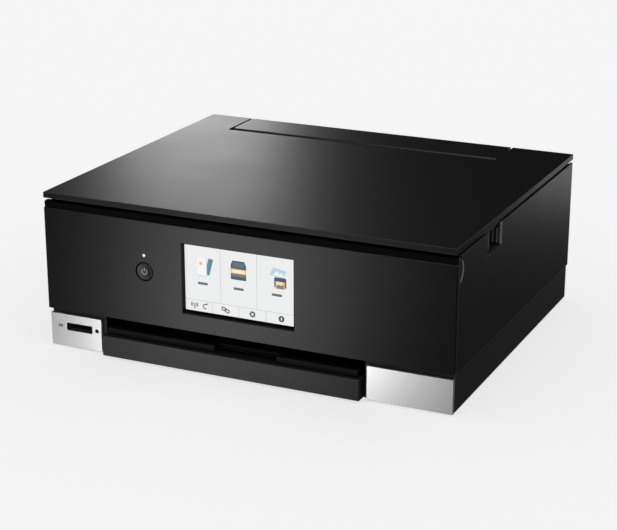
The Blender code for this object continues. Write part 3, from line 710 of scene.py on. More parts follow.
@cache
def screws_tree() -> bpy.types.NodeTree:
    """A pan-head screw with a cross recess on every point, its head along +Z before the turn.

    Returns:
        The tree.
    """
    tree, w, given, sink = geometry_tree("screws_on_points", {
        "Radius": (FLOAT, 0.0028), "Height": (FLOAT, 0.0012), "Recess": (FLOAT, 0.0007),
        "Turn": (VECTOR, (0.0, 0.0, 0.0)),
    })
    head = w.add("GeometryNodeMeshCylinder", {
        "Vertices": 20, "Radius": given["Radius"], "Depth": given["Height"],
    }).outputs["Mesh"]
    reach = w.add("ShaderNodeMath", {0: given["Radius"], 1: 1.25}, operation="MULTIPLY").outputs[0]
    arms = []
    for parts in (("X", "Y"), ("Y", "X")):
        sides = {parts[0]: reach, parts[1]: given["Recess"], "Z": given["Height"]}
        size = w.add("ShaderNodeCombineXYZ", sides)
        arms.append(w.add("GeometryNodeMeshCube", {"Size": size.outputs[0]}).outputs["Mesh"])
    lift = w.add("ShaderNodeCombineXYZ", {"Z": given["Recess"]}).outputs[0]
    tool = head
    for arm in arms:
        raised = w.add("GeometryNodeTransform", {"Geometry": arm, "Translation": lift}).outputs[0]
        cut = w.add("GeometryNodeMeshBoolean", operation="DIFFERENCE")
        w.feed(cut.inputs["Mesh 1"], tool)
        w.feed(cut.inputs["Mesh 2"], raised)
        tool = cut.outputs[0]
    turned = w.add("GeometryNodeTransform", {"Geometry": tool, "Rotation": given["Turn"]}).outputs[0]
    spread = w.add("GeometryNodeInstanceOnPoints", {"Points": given["Geometry"], "Instance": turned})
    end_tree(w, given, sink, spread.outputs[0])
    return tree


@cache
def belt_tree() -> bpy.types.NodeTree:
    """A flat belt along a closed line, with teeth on its inner side at an even pitch.

    Returns:
        The tree.
    """
    tree, w, given, sink = geometry_tree("toothed_belt", {
        "Width": (FLOAT, 0.005), "Thickness": (FLOAT, 0.001), "Pitch": (FLOAT, 0.0026),
        "Tooth": (FLOAT, 0.0006), "Side": (VECTOR, (0.0, 1.0, 0.0)),
    })
    line = w.add("GeometryNodeMeshToCurve", {"Mesh": given["Geometry"]}).outputs[0]
    section = w.add("GeometryNodeCurvePrimitiveQuadrilateral", {
        "Width": given["Thickness"], "Height": given["Width"],
    }).outputs[0]
    aimed = w.add("GeometryNodeSetCurveNormal", {"Curve": line, "Normal": given["Side"]}, mode="FREE")
    upright = aimed.outputs[0]
    band = w.add("GeometryNodeCurveToMesh", {"Curve": upright, "Profile Curve": section, "Fill Caps": True})
    stops = w.add("GeometryNodeResampleCurve", {"Curve": upright, "Length": given["Pitch"]}, mode="LENGTH")
    along = w.add("GeometryNodeInputTangent").outputs[0]
    turn = w.add("FunctionNodeAlignEulerToVector", {"Vector": along}, axis="Z").outputs[0]
    half = w.add("ShaderNodeMath", {0: given["Pitch"], 1: 0.5}, operation="MULTIPLY").outputs[0]
    size = w.add("ShaderNodeCombineXYZ", {"X": given["Tooth"], "Y": given["Width"], "Z": half}).outputs[0]
    tooth = w.add("GeometryNodeMeshCube", {"Size": size}).outputs["Mesh"]
    teeth = w.add("GeometryNodeInstanceOnPoints", {
        "Points": stops.outputs[0], "Instance": tooth, "Rotation": turn,
    })
    both = w.add("GeometryNodeJoinGeometry")
    w.feed(both.inputs[0], band.outputs[0])
    w.feed(both.inputs[0], teeth.outputs[0])
    end_tree(w, given, sink, both.outputs[0])
    return tree


@cache
def wheel_tree() -> bpy.types.NodeTree:
    """Blocks on a circle that face outwards: teeth and knurls of a wheel whose axis is +Z before the turn.

    Returns:
        The tree.
    """
    tree, w, given, sink = geometry_tree("teeth_on_wheel", {
        "Count": ("NodeSocketInt", 18), "Radius": (FLOAT, 0.007), "Size": (VECTOR, (0.001, 0.001, 0.006)),
        "Turn": (VECTOR, (0.0, 0.0, 0.0)),
    })
    ring = w.add("GeometryNodeMeshCircle", {"Vertices": given["Count"], "Radius": given["Radius"]}).outputs[0]
    outward = w.add("GeometryNodeInputPosition").outputs[0]
    turn = w.add("FunctionNodeAlignEulerToVector", {"Vector": outward}, axis="X", pivot_axis="Z").outputs[0]
    tooth = w.add("GeometryNodeMeshCube", {"Size": given["Size"]}).outputs["Mesh"]
    teeth = w.add("GeometryNodeInstanceOnPoints", {"Points": ring, "Instance": tooth, "Rotation": turn})
    real = w.add("GeometryNodeRealizeInstances", {"Geometry": teeth.outputs[0]}).outputs[0]
    tilted = w.add("GeometryNodeTransform", {"Geometry": real, "Rotation": given["Turn"]}).outputs[0]
    hubs = w.add("GeometryNodeInstanceOnPoints", {"Points": given["Geometry"], "Instance": tilted}).outputs[0]
    end_tree(w, given, sink, hubs)
    return tree


def grow(tree: bpy.types.NodeTree, points: Sequence[Place], finish: Finish, closed: bool = False,
         **sizes: Any) -> bpy.types.Mesh:
    """Runs a tree on a set of places.

    Args:
        tree: the Geometry Nodes tree.
        points: the places of the items, or the corners of a line.
        finish: finish of the result.
        closed: joins the places into one closed line.
        sizes: the tree's named inputs; lengths in millimetres, turns in degrees.

    Returns:
        The result as a plain mesh.
    """
    count = len(points)
    edges = [(i, (i + 1) % count) for i in range(count)] if closed else []
    mesh = bpy.data.meshes.new("points")
    mesh.from_pydata([at(*place) for place in points], edges, [])
    obj = bpy.data.objects.new("points", mesh)
    bpy.context.scene.collection.objects.link(obj)
    modifier = obj.modifiers.new(tree.name, "NODES")
    modifier.node_group = tree
    values = {"Material": finish.material()}
    units = {"Turn": math.radians(1.0), "Side": 1, "Count": 1}
    for name, value in sizes.items():
        unit = units.get(name, MM)
        values[name] = [part * unit for part in value] if isinstance(value, tuple) else value * unit
    for item in tree.interface.items_tree:
        if item.in_out == "INPUT" and item.name in values:
            modifier[item.identifier] = values[item.name]
    bpy.context.view_layer.update()
    result = bpy.data.meshes.new_from_object(obj.evaluated_get(bpy.context.evaluated_depsgraph_get()))
    bpy.data.objects.remove(obj, do_unlink=True)
    bpy.data.meshes.remove(mesh)
    return result


def row(start: Place, step: Place, count: int) -> list[Place]:
    """Evenly spaced places."""
    return [tuple(a + b * i for a, b in zip(start, step)) for i in range(count)]


def arc(radius: float, start: float, end: float, steps: int, middle: Span = (0.0, 0.0)) -> list[Span]:
    """Points on an arc, with its angles in degrees."""
    turns = [math.radians(start + (end - start) * i / steps) for i in range(steps + 1)]
    return [(middle[0] + radius * math.cos(t), middle[1] + radius * math.sin(t)) for t in turns]


def rounded(x: Span, z: Span, radius: float, steps: int = 6) -> list[Span]:
    """Outline of a rectangle with round corners.

    Args:
        x: span across.
        z: span of the other direction.
        radius: radius of the corners.
        steps: steps of each corner.

    Returns:
        The outline.
    """
    left, right, low, high = x[0] + radius, x[1] - radius, z[0] + radius, z[1] - radius
    points = []
    for start, middle in ((0, (right, high)), (90, (left, high)), (180, (left, low)), (270, (right, low))):
        points += arc(radius, start, start + 90, steps, middle)
    return points


def bar_profile(span: Span, radius: float, chamfer: float, bore: float = 0.0) -> list[Span]:
    """Profile of a round bar or sleeve for turning, with both ends chamfered."""
    low, high = span
    return [(low, bore), (low, radius - chamfer), (low + chamfer, radius), (high - chamfer, radius),
            (high, radius - chamfer), (high, bore)]


def refine(node: str, finish: Finish, body: str, width: float = 0.4, segments: int = 2,
           slot: Slot | None = None) -> bpy.types.Object:
    """A solid of the frame with its edges rounded and its faces shaded as one moulding."""
    shape = Shape().node(node).bevel(width, segments)
    return shape.piece(f"{node}_moulding", finish, body, [node], slot=slot)


def studs(name: str, points: Sequence[Place], size: Place, finish: Finish, body: str, width: float = 0.0,
          turn: Place = (0.0, 0.0, 0.0)) -> bpy.types.Object:
    """A piece made of equal blocks: ribs, marks, contacts or chips.

    Args:
        name: name of the piece.
        points: the middles of the blocks.
        size: size of one block.
        finish: finish of all of them.
        body: body that they ride on.
        width: how far their edges are rounded, sharp if zero.
        turn: turn of each block about its middle, in degrees.

    Returns:
        The piece.
    """
    shape = Shape().add(grow(blocks_tree(), points, finish, Size=size, Turn=turn))
    if width:
        shape.bevel(width, 1)
    return shape.piece(name, finish, body)


def screws(name: str, points: Sequence[Place], finish: Finish, radius: float, height: float, recess: float,
           turn: Place = (0.0, 0.0, 0.0)) -> bpy.types.Object:
    """A piece made of equal screws on the fixed body.

    Args:
        name: name of the piece.
        points: the middles of the heads.
        finish: finish of the screws.
        radius: radius of a head.
        height: height of a head.
        recess: width of the cross recess.
        turn: turn that brings the heads from upwards to where they face, in degrees.

    Returns:
        The piece.
    """
    mesh = grow(screws_tree(), points, finish, Radius=radius, Height=height, Recess=recess, Turn=turn)
    return Shape().add(mesh).piece(name, finish, "base", smooth=30.0)


# ---------------------------------------------------------------- outer case


@dataclass
class OuterCase:
    """Lower case, side and rear covers, sockets, trims and feet."""

    skirt_round: float = 0.6
    cover_round: float = 0.7
    trim_round: float = 0.35
    screw_radius: float = 2.9
    louvre: tuple[float, float, float] = (34.0, 0.7, 1.3)
    louvre_pitch: float = 3.2
    card_slot: Region = field(default_factory=lambda: Region((-169.7, -144.3), (2.0, 5.2), (16.5, 23.2)))
    lamp: tuple[float, float] = (-139.3, 19.9)
    card_mark: tuple[float, float] = (-176.0, 19.9)

    def build(self) -> None:
        """Builds every piece of the case."""
        refine("lower_case", TEXTURED, "base", self.skirt_round)
        for side in ("left", "right"):
            refine(f"{side}_side_cover", SIDE_SATIN, "base", self.cover_round, 3)
        refine("rear_cover", TEXTURED, "base", 0.5)
        self.transport_cover()
        self.louvres()
        self.screws()
        self.sockets()
        self.trims()
        self.feet()

    def transport_cover(self) -> None:
        """Rear cover with finger ribs and a raised frame."""
        cover = Region.of("transport_cover")
        back = cover.depth[1] - 0.9
        proud = cover.depth[1] - 0.15
        shape = Shape().node("transport_cover").bevel(1.6, 3)
        shape.piece("transport_cover_moulding", TEXTURED, "transport_cover", ["transport_cover"])
        for side, x in (("left", cover.x[0] + 16.0), ("right", cover.x[1] - 34.0)):
            places = row((x, back + 0.4, 80.0), (2.4, 0, 0), 8)
            studs(f"transport_cover_grip_{side}", places, (1.0, 1.0, 15.0), TEXTURED, "transport_cover", 0.2)
        middle = sum(cover.x) / 2
        frame_outline = rounded((middle - 46.0, middle + 46.0), (22.0, 68.0), 5.0)
        shape = Shape().prism(frame_outline, Axis.DEPTH, (back, proud)).bevel(0.3, 2)
        shape.piece("transport_cover_boss", TEXTURED, "transport_cover")

    def louvres(self) -> None:
        """Cooling louvres on both ends of the rear cover."""
        rear = Region.of("rear_cover").depth[1]
        for side, x, low, count in (("left", -156.0, 66.0, 10), ("right", 150.0, 40.0, 5)):
            length = self.louvre[0] if side == "left" else self.louvre[0] * 0.9
            places = row((x, rear + 0.35, low), (0, 0, self.louvre_pitch), count)
            studs(f"rear_louvres_{side}", places, (length, *self.louvre[1:]), TEXTURED, "base", 0.25)

    def screws(self) -> None:
        """Screws of the rear cover and of the underside."""
        rear = Region.of("rear_cover").depth[1] + 0.25
        places = [(x, rear, z) for x in (-178.0, 178.0) for z in (38.0, 100.0)]
        screws("rear_cover_screws", places, PRESSED, self.screw_radius, 1.1, 0.8, (-90.0, 0.0, 0.0))
        under = Region.of("lower_case").z[0] + 0.3
        places = [(x, d, under) for x in (-172.0, 172.0) for d in (40.0, 160.0, 270.0)]
        screws("underside_screws", places, PRESSED, self.screw_radius, 1.0, 0.8, (180.0, 0.0, 0.0))

    def sockets(self) -> None:
        """Mains inlet with its two pins, and the USB socket with its tongue."""
        refine("power_inlet", MATT, "base", 0.4)
        inlet = Region.of("power_inlet")
        x, z = sum(inlet.x) / 2, sum(inlet.z) / 2
        pins = Shape()
        for offset in (-4.3, 4.3):
            pins.rod((x + offset, 294.0, z), (x + offset, 301.2, z), 1.25, 20).rod(
                (x + offset, 301.2, z), (x + offset, 302.0, z), 1.25, 20, 0.6
            )
        pins.piece("inlet_pins", STEEL, "base")
        refine("usb_port", STEEL, "base", 0.3)
        usb = Region.of("usb_port")
        x, z = sum(usb.x) / 2, sum(usb.z) / 2
        Shape().block((x - 3.0, x + 3.0), (295.2, 304.5), (z - 1.7, z + 1.7)).bevel(0.25).piece(
            "usb_tongue", PALE, "base"
        )
        studs("usb_contacts", row((x - 2.0, 300.5, z + 1.75), (1.33, 0, 0), 4), (0.7, 7.0, 0.2), BRASS, "base")

    def trims(self) -> None:
        """Bright plates beside the paper bay, with the card slot, its lamp and its mark."""
        for side in ("left", "right"):
            refine(f"{side}_trim", SILVER, "base", self.trim_round, 3)
        refine("card_reader", MATT, "base", 0.25)
        face = Region.of("left_trim").depth[0]
        slot, lip = self.card_slot, 0.55
        outer = rounded(slot.x, slot.z, 1.6)
        inner = rounded((slot.x[0] + lip, slot.x[1] - lip), (slot.z[0] + lip, slot.z[1] - lip), 1.2)
        shape = Shape().ring(outer, inner, Axis.DEPTH, (face + 0.25, face + 2.6))
        shape.piece("card_slot_bezel", GLOSS, "base")
        studs("card_contacts", row((-167.0, 28.0, 18.0), (2.5, 0, 0), 9), (1.2, 4.0, 0.3), BRASS, "base")
        x, z = self.lamp
        lens = [(-0.15, 0.0), (-0.13, 1.4), (-0.02, 1.9), (0.05, 1.9), (0.05, 1.3), (2.6, 1.3), (2.6, 0.0)]
        Shape().turned(lens, (x, face, z), Axis.DEPTH, 24).piece("card_lamp", LENS, "base")
        x, z = self.card_mark
        half, rise, notch = 2.4, 1.4, 1.0
        outline = [(x - half, z - rise), (x + half, z - rise), (x + half, z + rise),
                   (x - half + notch, z + rise), (x - half, z + rise - notch)]
        Shape().prism(outline, Axis.DEPTH, (face - 0.03, face + 0.1)).piece("card_mark", MARK, "base")

    def feet(self) -> None:
        """Soft feet with a rounded rim and a shallow ring."""
        for row_name in ("front", "rear"):
            for side in ("left", "right"):
                node = f"foot_{row_name}_{side}"
                foot = Region.of(node)
                radius = (foot.x[1] - foot.x[0]) / 2
                height, edge = 1.2, radius - 0.05
                profile = [
                    (0.0, 0.0), (0.0, radius - 2.6), (0.3, radius - 2.2), (0.0, radius - 1.8),
                    (0.0, radius - 0.4), (0.4, edge), (height, edge), (height, 0.0),
                ]
                centre = (sum(foot.x) / 2, sum(foot.depth) / 2, foot.z[0])
                Shape().turned(profile, centre, Axis.UP, 40).piece(f"{node}_pad", RUBBER, "base", [node])


# ---------------------------------------------------------------- inner frame and paper drive


@dataclass
class Mechanism:
    """Deck, sheet frame, paper drive, purge unit and supply under the scanner."""

    inks: tuple[tuple[str, float], ...] = (
        ("pigment_black", 21.0), ("photo_grey", 15.7), ("cyan", 15.7), ("magenta", 15.7), ("yellow", 15.7),
        ("dye_black", 15.7),
    )
    tank_left: float = 61.3
    tank_gap: float = 0.3
    teeth: int = 18
    feed_axis: Span = (182.0, 53.5)
    eject_axis: Span = (70.0, 53.5)
    shaft_radius: float = 4.0
    board_depth: Span = (204.0, 290.0)
    encoder: Region = field(default_factory=lambda: Region((-168.0, 168.0), (187.2, 187.5), (96.0, 99.2)))

    def build(self) -> None:
        """Builds every fixed or turning piece of the mechanism."""
        self.deck()
        self.chassis()
        self.paper_path()
        self.purge_unit()
        self.electrics()
        self.belts()
        self.rollers()

    def tank_middles(self) -> list[tuple[str, float]]:
        """Name and middle of each ink tank, from left to right.

        Returns:
            The names and middles.
        """
        left, places = self.tank_left, []
        for name, wide in self.inks:
            places.append((name, left + wide / 2))
            left += wide + self.tank_gap
        return places

    def deck(self) -> None:
        """Inner deck with its screws, stiffening ribs and the colours of the tanks marked in order."""
        refine("top_frame", MATT, "base", 0.5)
        top = Region.of("top_frame").z[1]
        spots = ((-175.0, 30.0), (176.0, 30.0), (-175.0, 240.0), (160.0, 240.0), (0.0, 240.0))
        screws("deck_screws", [(x, depth, top + 0.3) for x, depth in spots], PRESSED, 3.2, 1.2, 0.8)
        places = row((-130.0, 228.0, top + 0.6), (20.0, 0, 0), 14)
        studs("deck_ribs", places, (1.4, 34.0, 1.4), MATT, "base", 0.3)
        strip = rounded((self.tank_left - 3.0, 166.0), (44.0, 56.0), 2.0)
        label = Shape().prism(strip, Axis.UP, (top - 0.05, top + 0.25)).bevel(0.1, 1)
        label.piece("ink_order_label", GREY, "base")
        for name, x in self.tank_middles():
            outline = rounded((x - 5.0, x + 5.0), (46.5, 53.5), 1.2)
            mark = Shape().prism(outline, Axis.UP, (top + 0.2, top + 0.32))
            mark.piece(f"ink_mark_{name}", INKS[name], "base")

    def chassis(self) -> None:
        """Sheet frame with its beads, screws, bearings, shaft and encoder strip."""
        refine("chassis", PRESSED, "base", 0.25, 1)
        shape = Shape()
        for x in (-140.0, -70.0, 0.0, 70.0, 128.0):
            shape.block((x - 12.0, x + 12.0), (195.4, 196.2), (72.0, 73.6))
        shape.bevel(0.35, 2).piece("chassis_beads", PRESSED, "base")
        places = row((-150.0, 195.7, 96.5), (60.0, 0, 0), 6)
        screws("chassis_screws", places, STEEL, 2.2, 0.9, 0.6, (90.0, 0.0, 0.0))
        wall = 171.3
        for label, (depth, height), bore in (("feed", self.feed_axis, 3.2), ("eject", self.eject_axis, 2.8)):
            for side, sign in (("left", -1), ("right", 1)):
                profile = [(-1.6, bore), (-1.6, 5.6), (0.9, 5.6), (0.9, 4.1), (1.9, 4.1), (1.9, bore)]
                flipped = [(sign * a, r) for a, r in profile]
                bush = Shape().turned(flipped, (sign * wall, depth, height), Axis.ACROSS, 32)
                bush.piece(f"{label}_bearing_{side}", PALE, "base")
        shaft = Region.of("guide_shaft")
        centre = (0.0, sum(shaft.depth) / 2, sum(shaft.z) / 2)
        profile = bar_profile(shaft.x, self.shaft_radius, 0.7)
        shape = Shape().turned(profile, centre, Axis.ACROSS, 48)
        shape.piece("guide_shaft_bar", STEEL, "base", ["guide_shaft"])
        strip = self.encoder
        Shape().block(strip.x, strip.depth, strip.z).piece("encoder_strip", LENS, "base")
        clips = Shape()
        for x in ((-170.3, -166.5), (166.5, 170.3)):
            clips.block(x, (186.4, 195.8), (95.0, 99.4))
        clips.bevel(0.3, 1).piece("encoder_clips", PALE, "base")

    def paper_path(self) -> None:
        """Ribbed platen with foam between its ribs, and star wheels in their holder."""
        refine("platen", MATT, "base", 0.3, 1)
        top = 58.5
        beds = row((-119.4, 125.0, top + 0.1), (18.0, 0, 0), 11)
        studs("platen_foam", beds, (11.0, 26.0, 0.5), GREY, "base", 0.15)
        across = (-128.0, 104.0)
        holder = Shape().block(across, (81.0, 88.0), (62.2, 63.4)).block(across, (66.5, 68.0), (60.4, 66.0))
        holder.bevel(0.3, 1).piece("star_wheel_holder", MATT, "base")
        half = 0.2
        for number, (x, depth, z) in enumerate(row((-112.0, 73.5, 62.6), (33.4, 0, 0), 7), 1):
            teeth = grow(wheel_tree(), [(x, depth, z)], STEEL, Count=20, Radius=3.4, Size=(1.3, 0.5, 0.3),
                         Turn=(0.0, 90.0, 0.0))
            wheel = Shape().rod((x - half, depth, z), (x + half, depth, z), 3.2, 28).add(teeth)
            wheel.piece(f"star_wheel_{number}", STEEL, "base")

    def purge_unit(self) -> None:
        """Capping and wiping unit at the parking place."""
        refine("purge_unit", GREY, "base", 0.6)
        depth, lip = (110.0, 150.0), 1.2
        for label, x in (("black", (110.0, 118.5)), ("colour", (121.0, 147.0))):
            inner = rounded((x[0] + lip, x[1] - lip), (depth[0] + lip, depth[1] - lip), 1.2)
            shape = Shape().ring(rounded(x, depth, 2.0), inner, Axis.UP, (59.7, 60.7))
            shape.piece(f"cap_{label}", RUBBER, "base")
        wiper = Shape().block((152.5, 153.3), depth, (57.6, 60.8)).bevel(0.15, 1)
        wiper.piece("wiper_blade", RUBBER, "base")

    def motor_profile(self, span: Span, radius: float) -> list[Span]:
        """Profile of a motor's can for turning, with the step of its end cap."""
        low, high, cap, wall = *span, 4.0, radius - 0.1
        return [(low, 0.0), (low, radius - 2.0), (low + 1.0, wall), (high - cap, wall),
                (high - cap, radius - 1.0), (high, radius - 1.4), (high, 0.0)]

    def electrics(self) -> None:
        """Motors, power supply and the circuit board."""
        motor = Region.of("carriage_motor")
        can = self.motor_profile(motor.depth, (motor.x[1] - motor.x[0]) / 2)
        shape = Shape().turned(can, (sum(motor.x) / 2, 0.0, sum(motor.z) / 2), Axis.DEPTH, 48)
        shape.piece("carriage_motor_can", PRESSED, "base", ["carriage_motor"])
        motor = Region.of("feed_motor")
        can = self.motor_profile(motor.x, (motor.z[1] - motor.z[0]) / 2)
        shape = Shape().turned(can, (0.0, sum(motor.depth) / 2, sum(motor.z) / 2), Axis.ACROSS, 48)
        shape.piece("feed_motor_can", PRESSED, "base", ["feed_motor"])
        refine("power_supply", GREY, "base", 1.0)
        supply = Region.of("power_supply")
        fins = row((sum(supply.x) / 2, supply.depth[0] + 8.0, supply.z[1] + 0.3), (0, 6.0, 0), 12)
        studs("supply_vents", fins, (30.0, 1.6, 1.0), GREY, "base", 0.3)
        board = Shape().block((176.6, 178.2), self.board_depth, (6.0, 94.0)).bevel(0.2, 1)
        board.piece("main_board", BOARD, "base")
        chips = [(174.9, depth, z) for depth, z in ((250.0, 40.0), (250.0, 62.0), (276.0, 34.0))]
        studs("board_chips", chips, (3.0, 15.0, 14.0), LENS, "base", 0.3)
        parts = [(175.8, 212.0 + 8.0 * i, 12.0 + 6.0 * j) for i in range(9) for j in range(2)]
        studs("board_sockets", parts, (1.4, 5.0, 3.6), PALE, "base", 0.2)

    def belts(self) -> None:
        """Carriage belt and paper drive belt with their teeth, and the belt's two pulleys."""
        belt = Region.of("timing_belt")
        mid, height, reach = sum(belt.depth) / 2, sum(belt.z) / 2, 158.0
        line = arc(8.6, -90, 90, 14, (reach, height)) + arc(8.6, 90, 270, 14, (-reach, height))
        self.belt("timing_belt", [(x, mid, z) for x, z in line], 4.6, (0.0, 1.0, 0.0))
        mid = sum(Region.of("feed_belt").x) / 2
        line = arc(11.0, 88, 272, 14, self.eject_axis) + arc(13.0, -88, 88, 14, self.feed_axis)
        self.belt("feed_belt", [(mid, depth, z) for depth, z in line], 3.8, (1.0, 0.0, 0.0))
        for name in ("drive_pulley", "idler_pulley"):
            wheel = Region.of(name)
            x, z = sum(wheel.x) / 2, sum(wheel.z) / 2
            d = (188.5, 194.5)
            radius, rim = 6.9, 0.5
            rims = [(d[0], 0.0), (d[0], radius), (d[0] + rim, radius), (d[1] - rim, radius), (d[1], radius),
                    (d[1], 0.0)]
            teeth = grow(wheel_tree(), [(x, sum(d) / 2, z)], STEEL, Count=self.teeth, Radius=radius,
                         Size=(1.1, 1.1, 5.9), Turn=(90.0, 0.0, 0.0))
            shape = Shape().turned(rims, (x, 0.0, z), Axis.DEPTH, 36).add(teeth)
            shape.rod((x, 187.0, z), (x, d[0] + 0.3, z), 2.0, 20)
            shape.piece(f"{name}_wheel", STEEL, name, [name], smooth=30.0)

    def belt(self, node: str, path: Sequence[Place], width: float, side: Place) -> None:
        """One toothed belt.

        Args:
            node: solid of the frame that it stands for.
            path: the closed line that it follows.
            width: its width.
            side: direction of its width.
        """
        mesh = grow(belt_tree(), path, RUBBER, True, Width=width, Thickness=0.9, Pitch=3.0, Tooth=1.1,
                    Side=side)
        Shape().add(mesh).piece(f"{node}_loop", RUBBER, "base", [node], smooth=25.0)

    def rollers(self) -> None:
        """Paper rollers as steel shafts with rubber sleeves, and their toothed pulleys."""
        for name, radius, shaft in (("feed_roller", 6.0, 3.0), ("eject_roller", 5.0, 2.6)):
            solid = Region.of(name)
            d, z = sum(solid.depth) / 2, sum(solid.z) / 2
            profile = bar_profile(solid.x, shaft, 0.4)
            Shape().turned(profile, (0.0, d, z), Axis.ACROSS, 32).piece(f"{name}_shaft", STEEL, name, [name])
            sleeves, first, pitch = Shape(), -130.6, 59.6
            half = pitch * 0.35
            for i in range(4):
                x = first + pitch * (i + 0.5)
                ring = bar_profile((x - half, x + half), radius, 0.4, shaft)
                sleeves.turned(ring, (0.0, d, z), Axis.ACROSS, 40)
            sleeves.piece(f"{name}_sleeves", RUBBER, name)
            refine(name.replace("roller", "pulley"), GREY, name, 0.2, 1)


def ink(name: str, slot: Slot, colour: Colour) -> Finish:
    """Finish of one ink tank's coloured moulding."""
    return Finish(name, slot, colour, 0.34, 0.8, 0.004, 0.1, 0.05, 0.15, coat=0.3)


INKS = {
    "pigment_black": ink("ink_pigment_black_moulding", Slot.INK_PIGMENT_BLACK, (0.018, 0.018, 0.019)),
    "photo_grey": ink("ink_photo_grey_moulding", Slot.INK_GREY, (0.24, 0.245, 0.26)),
    "cyan": ink("ink_cyan_moulding", Slot.INK_CYAN, (0.0, 0.27, 0.58)),
    "magenta": ink("ink_magenta_moulding", Slot.INK_MAGENTA, (0.50, 0.01, 0.16)),
    "yellow": ink("ink_yellow_moulding", Slot.INK_YELLOW, (0.82, 0.60, 0.02)),
    "dye_black": ink("ink_dye_black_moulding", Slot.INK_DYE_BLACK, (0.014, 0.014, 0.018)),
}


@dataclass
class Carriage:
    """Carriage with its print head and six ink tanks."""

    mechanism: Mechanism
    tank_round: float = 0.8

    def build(self) -> None:
        """Builds the carriage, its clip and sensor, the head and the tanks."""
        refine("carriage", MATT, "carriage", 0.5)
        body = Region.of("carriage")
        places = row((64.0, body.depth[0] + 0.1, 78.0), (8.0, 0, 0), 13)
        studs("carriage_ribs", places, (1.4, 0.9, 22.0), MATT, "carriage", 0.25)
        across, front = (104.0, 120.0), 184.0
        clip = Shape().block(across, (front, 194.2), (93.4, 95.2)).block(across, (front, 186.0), (88.0, 94.0))
        clip.bevel(0.3, 1).piece("belt_clip", PALE, "carriage")
        sensor = Shape().block((126.0, 138.0), (181.0, 186.6), (90.0, 99.0)).bevel(0.6)
        sensor.piece("encoder_sensor", MATT, "carriage")
        refine("print_head", GREY, "carriage", 0.5)
        head = Region.of("print_head")
        plate = Shape().block((70.0, 154.0), (104.0, 156.0), (head.z[0] - 0.25, head.z[0] + 0.2))
        plate.bevel(0.1, 1).piece("nozzle_plate", STEEL, "carriage")
        for name, x in self.mechanism.tank_middles():
            self.tank(name, x)

    def tank(self, name: str, x: float) -> None:
        """One ink tank with its label, ink drop mark and grip ribs.

        Args:
            name: name of the ink.
            x: the tank's middle across.
        """
        node = f"ink_tank_{name}"
        tank = Region.of(node)
        Shape().node(node).bevel(self.tank_round, 2).piece(f"{node}_moulding", INKS[name], "carriage", [node])
        half = (tank.x[1] - tank.x[0]) / 2 - 2.2
        outline = rounded((x - half, x + half), (118.0, 160.0), 1.2)
        Shape().prism(outline, Axis.UP, (99.95, 100.15)).piece(f"{node}_label", PALE_MARK, "carriage")
        drop_depth, drop_tip = 139.0, 4.4
        drop = arc(2.3, 150, 390, 12, (x, drop_depth))
        drop += [(x + 0.3, drop_depth + drop_tip), (x - 0.3, drop_depth + drop_tip)]
        Shape().prism(drop, Axis.UP, (100.1, 100.25)).piece(f"{node}_drop", INKS[name], "carriage")
        wide = tank.x[1] - tank.x[0] - 8.0
        places = row((x, 99.5, 102.75), (0, 2.4, 0), 5)
        studs(f"{node}_grip", places, (wide, 0.9, 0.25), INKS[name], "carriage")


# ---------------------------------------------------------------- scanner and lid


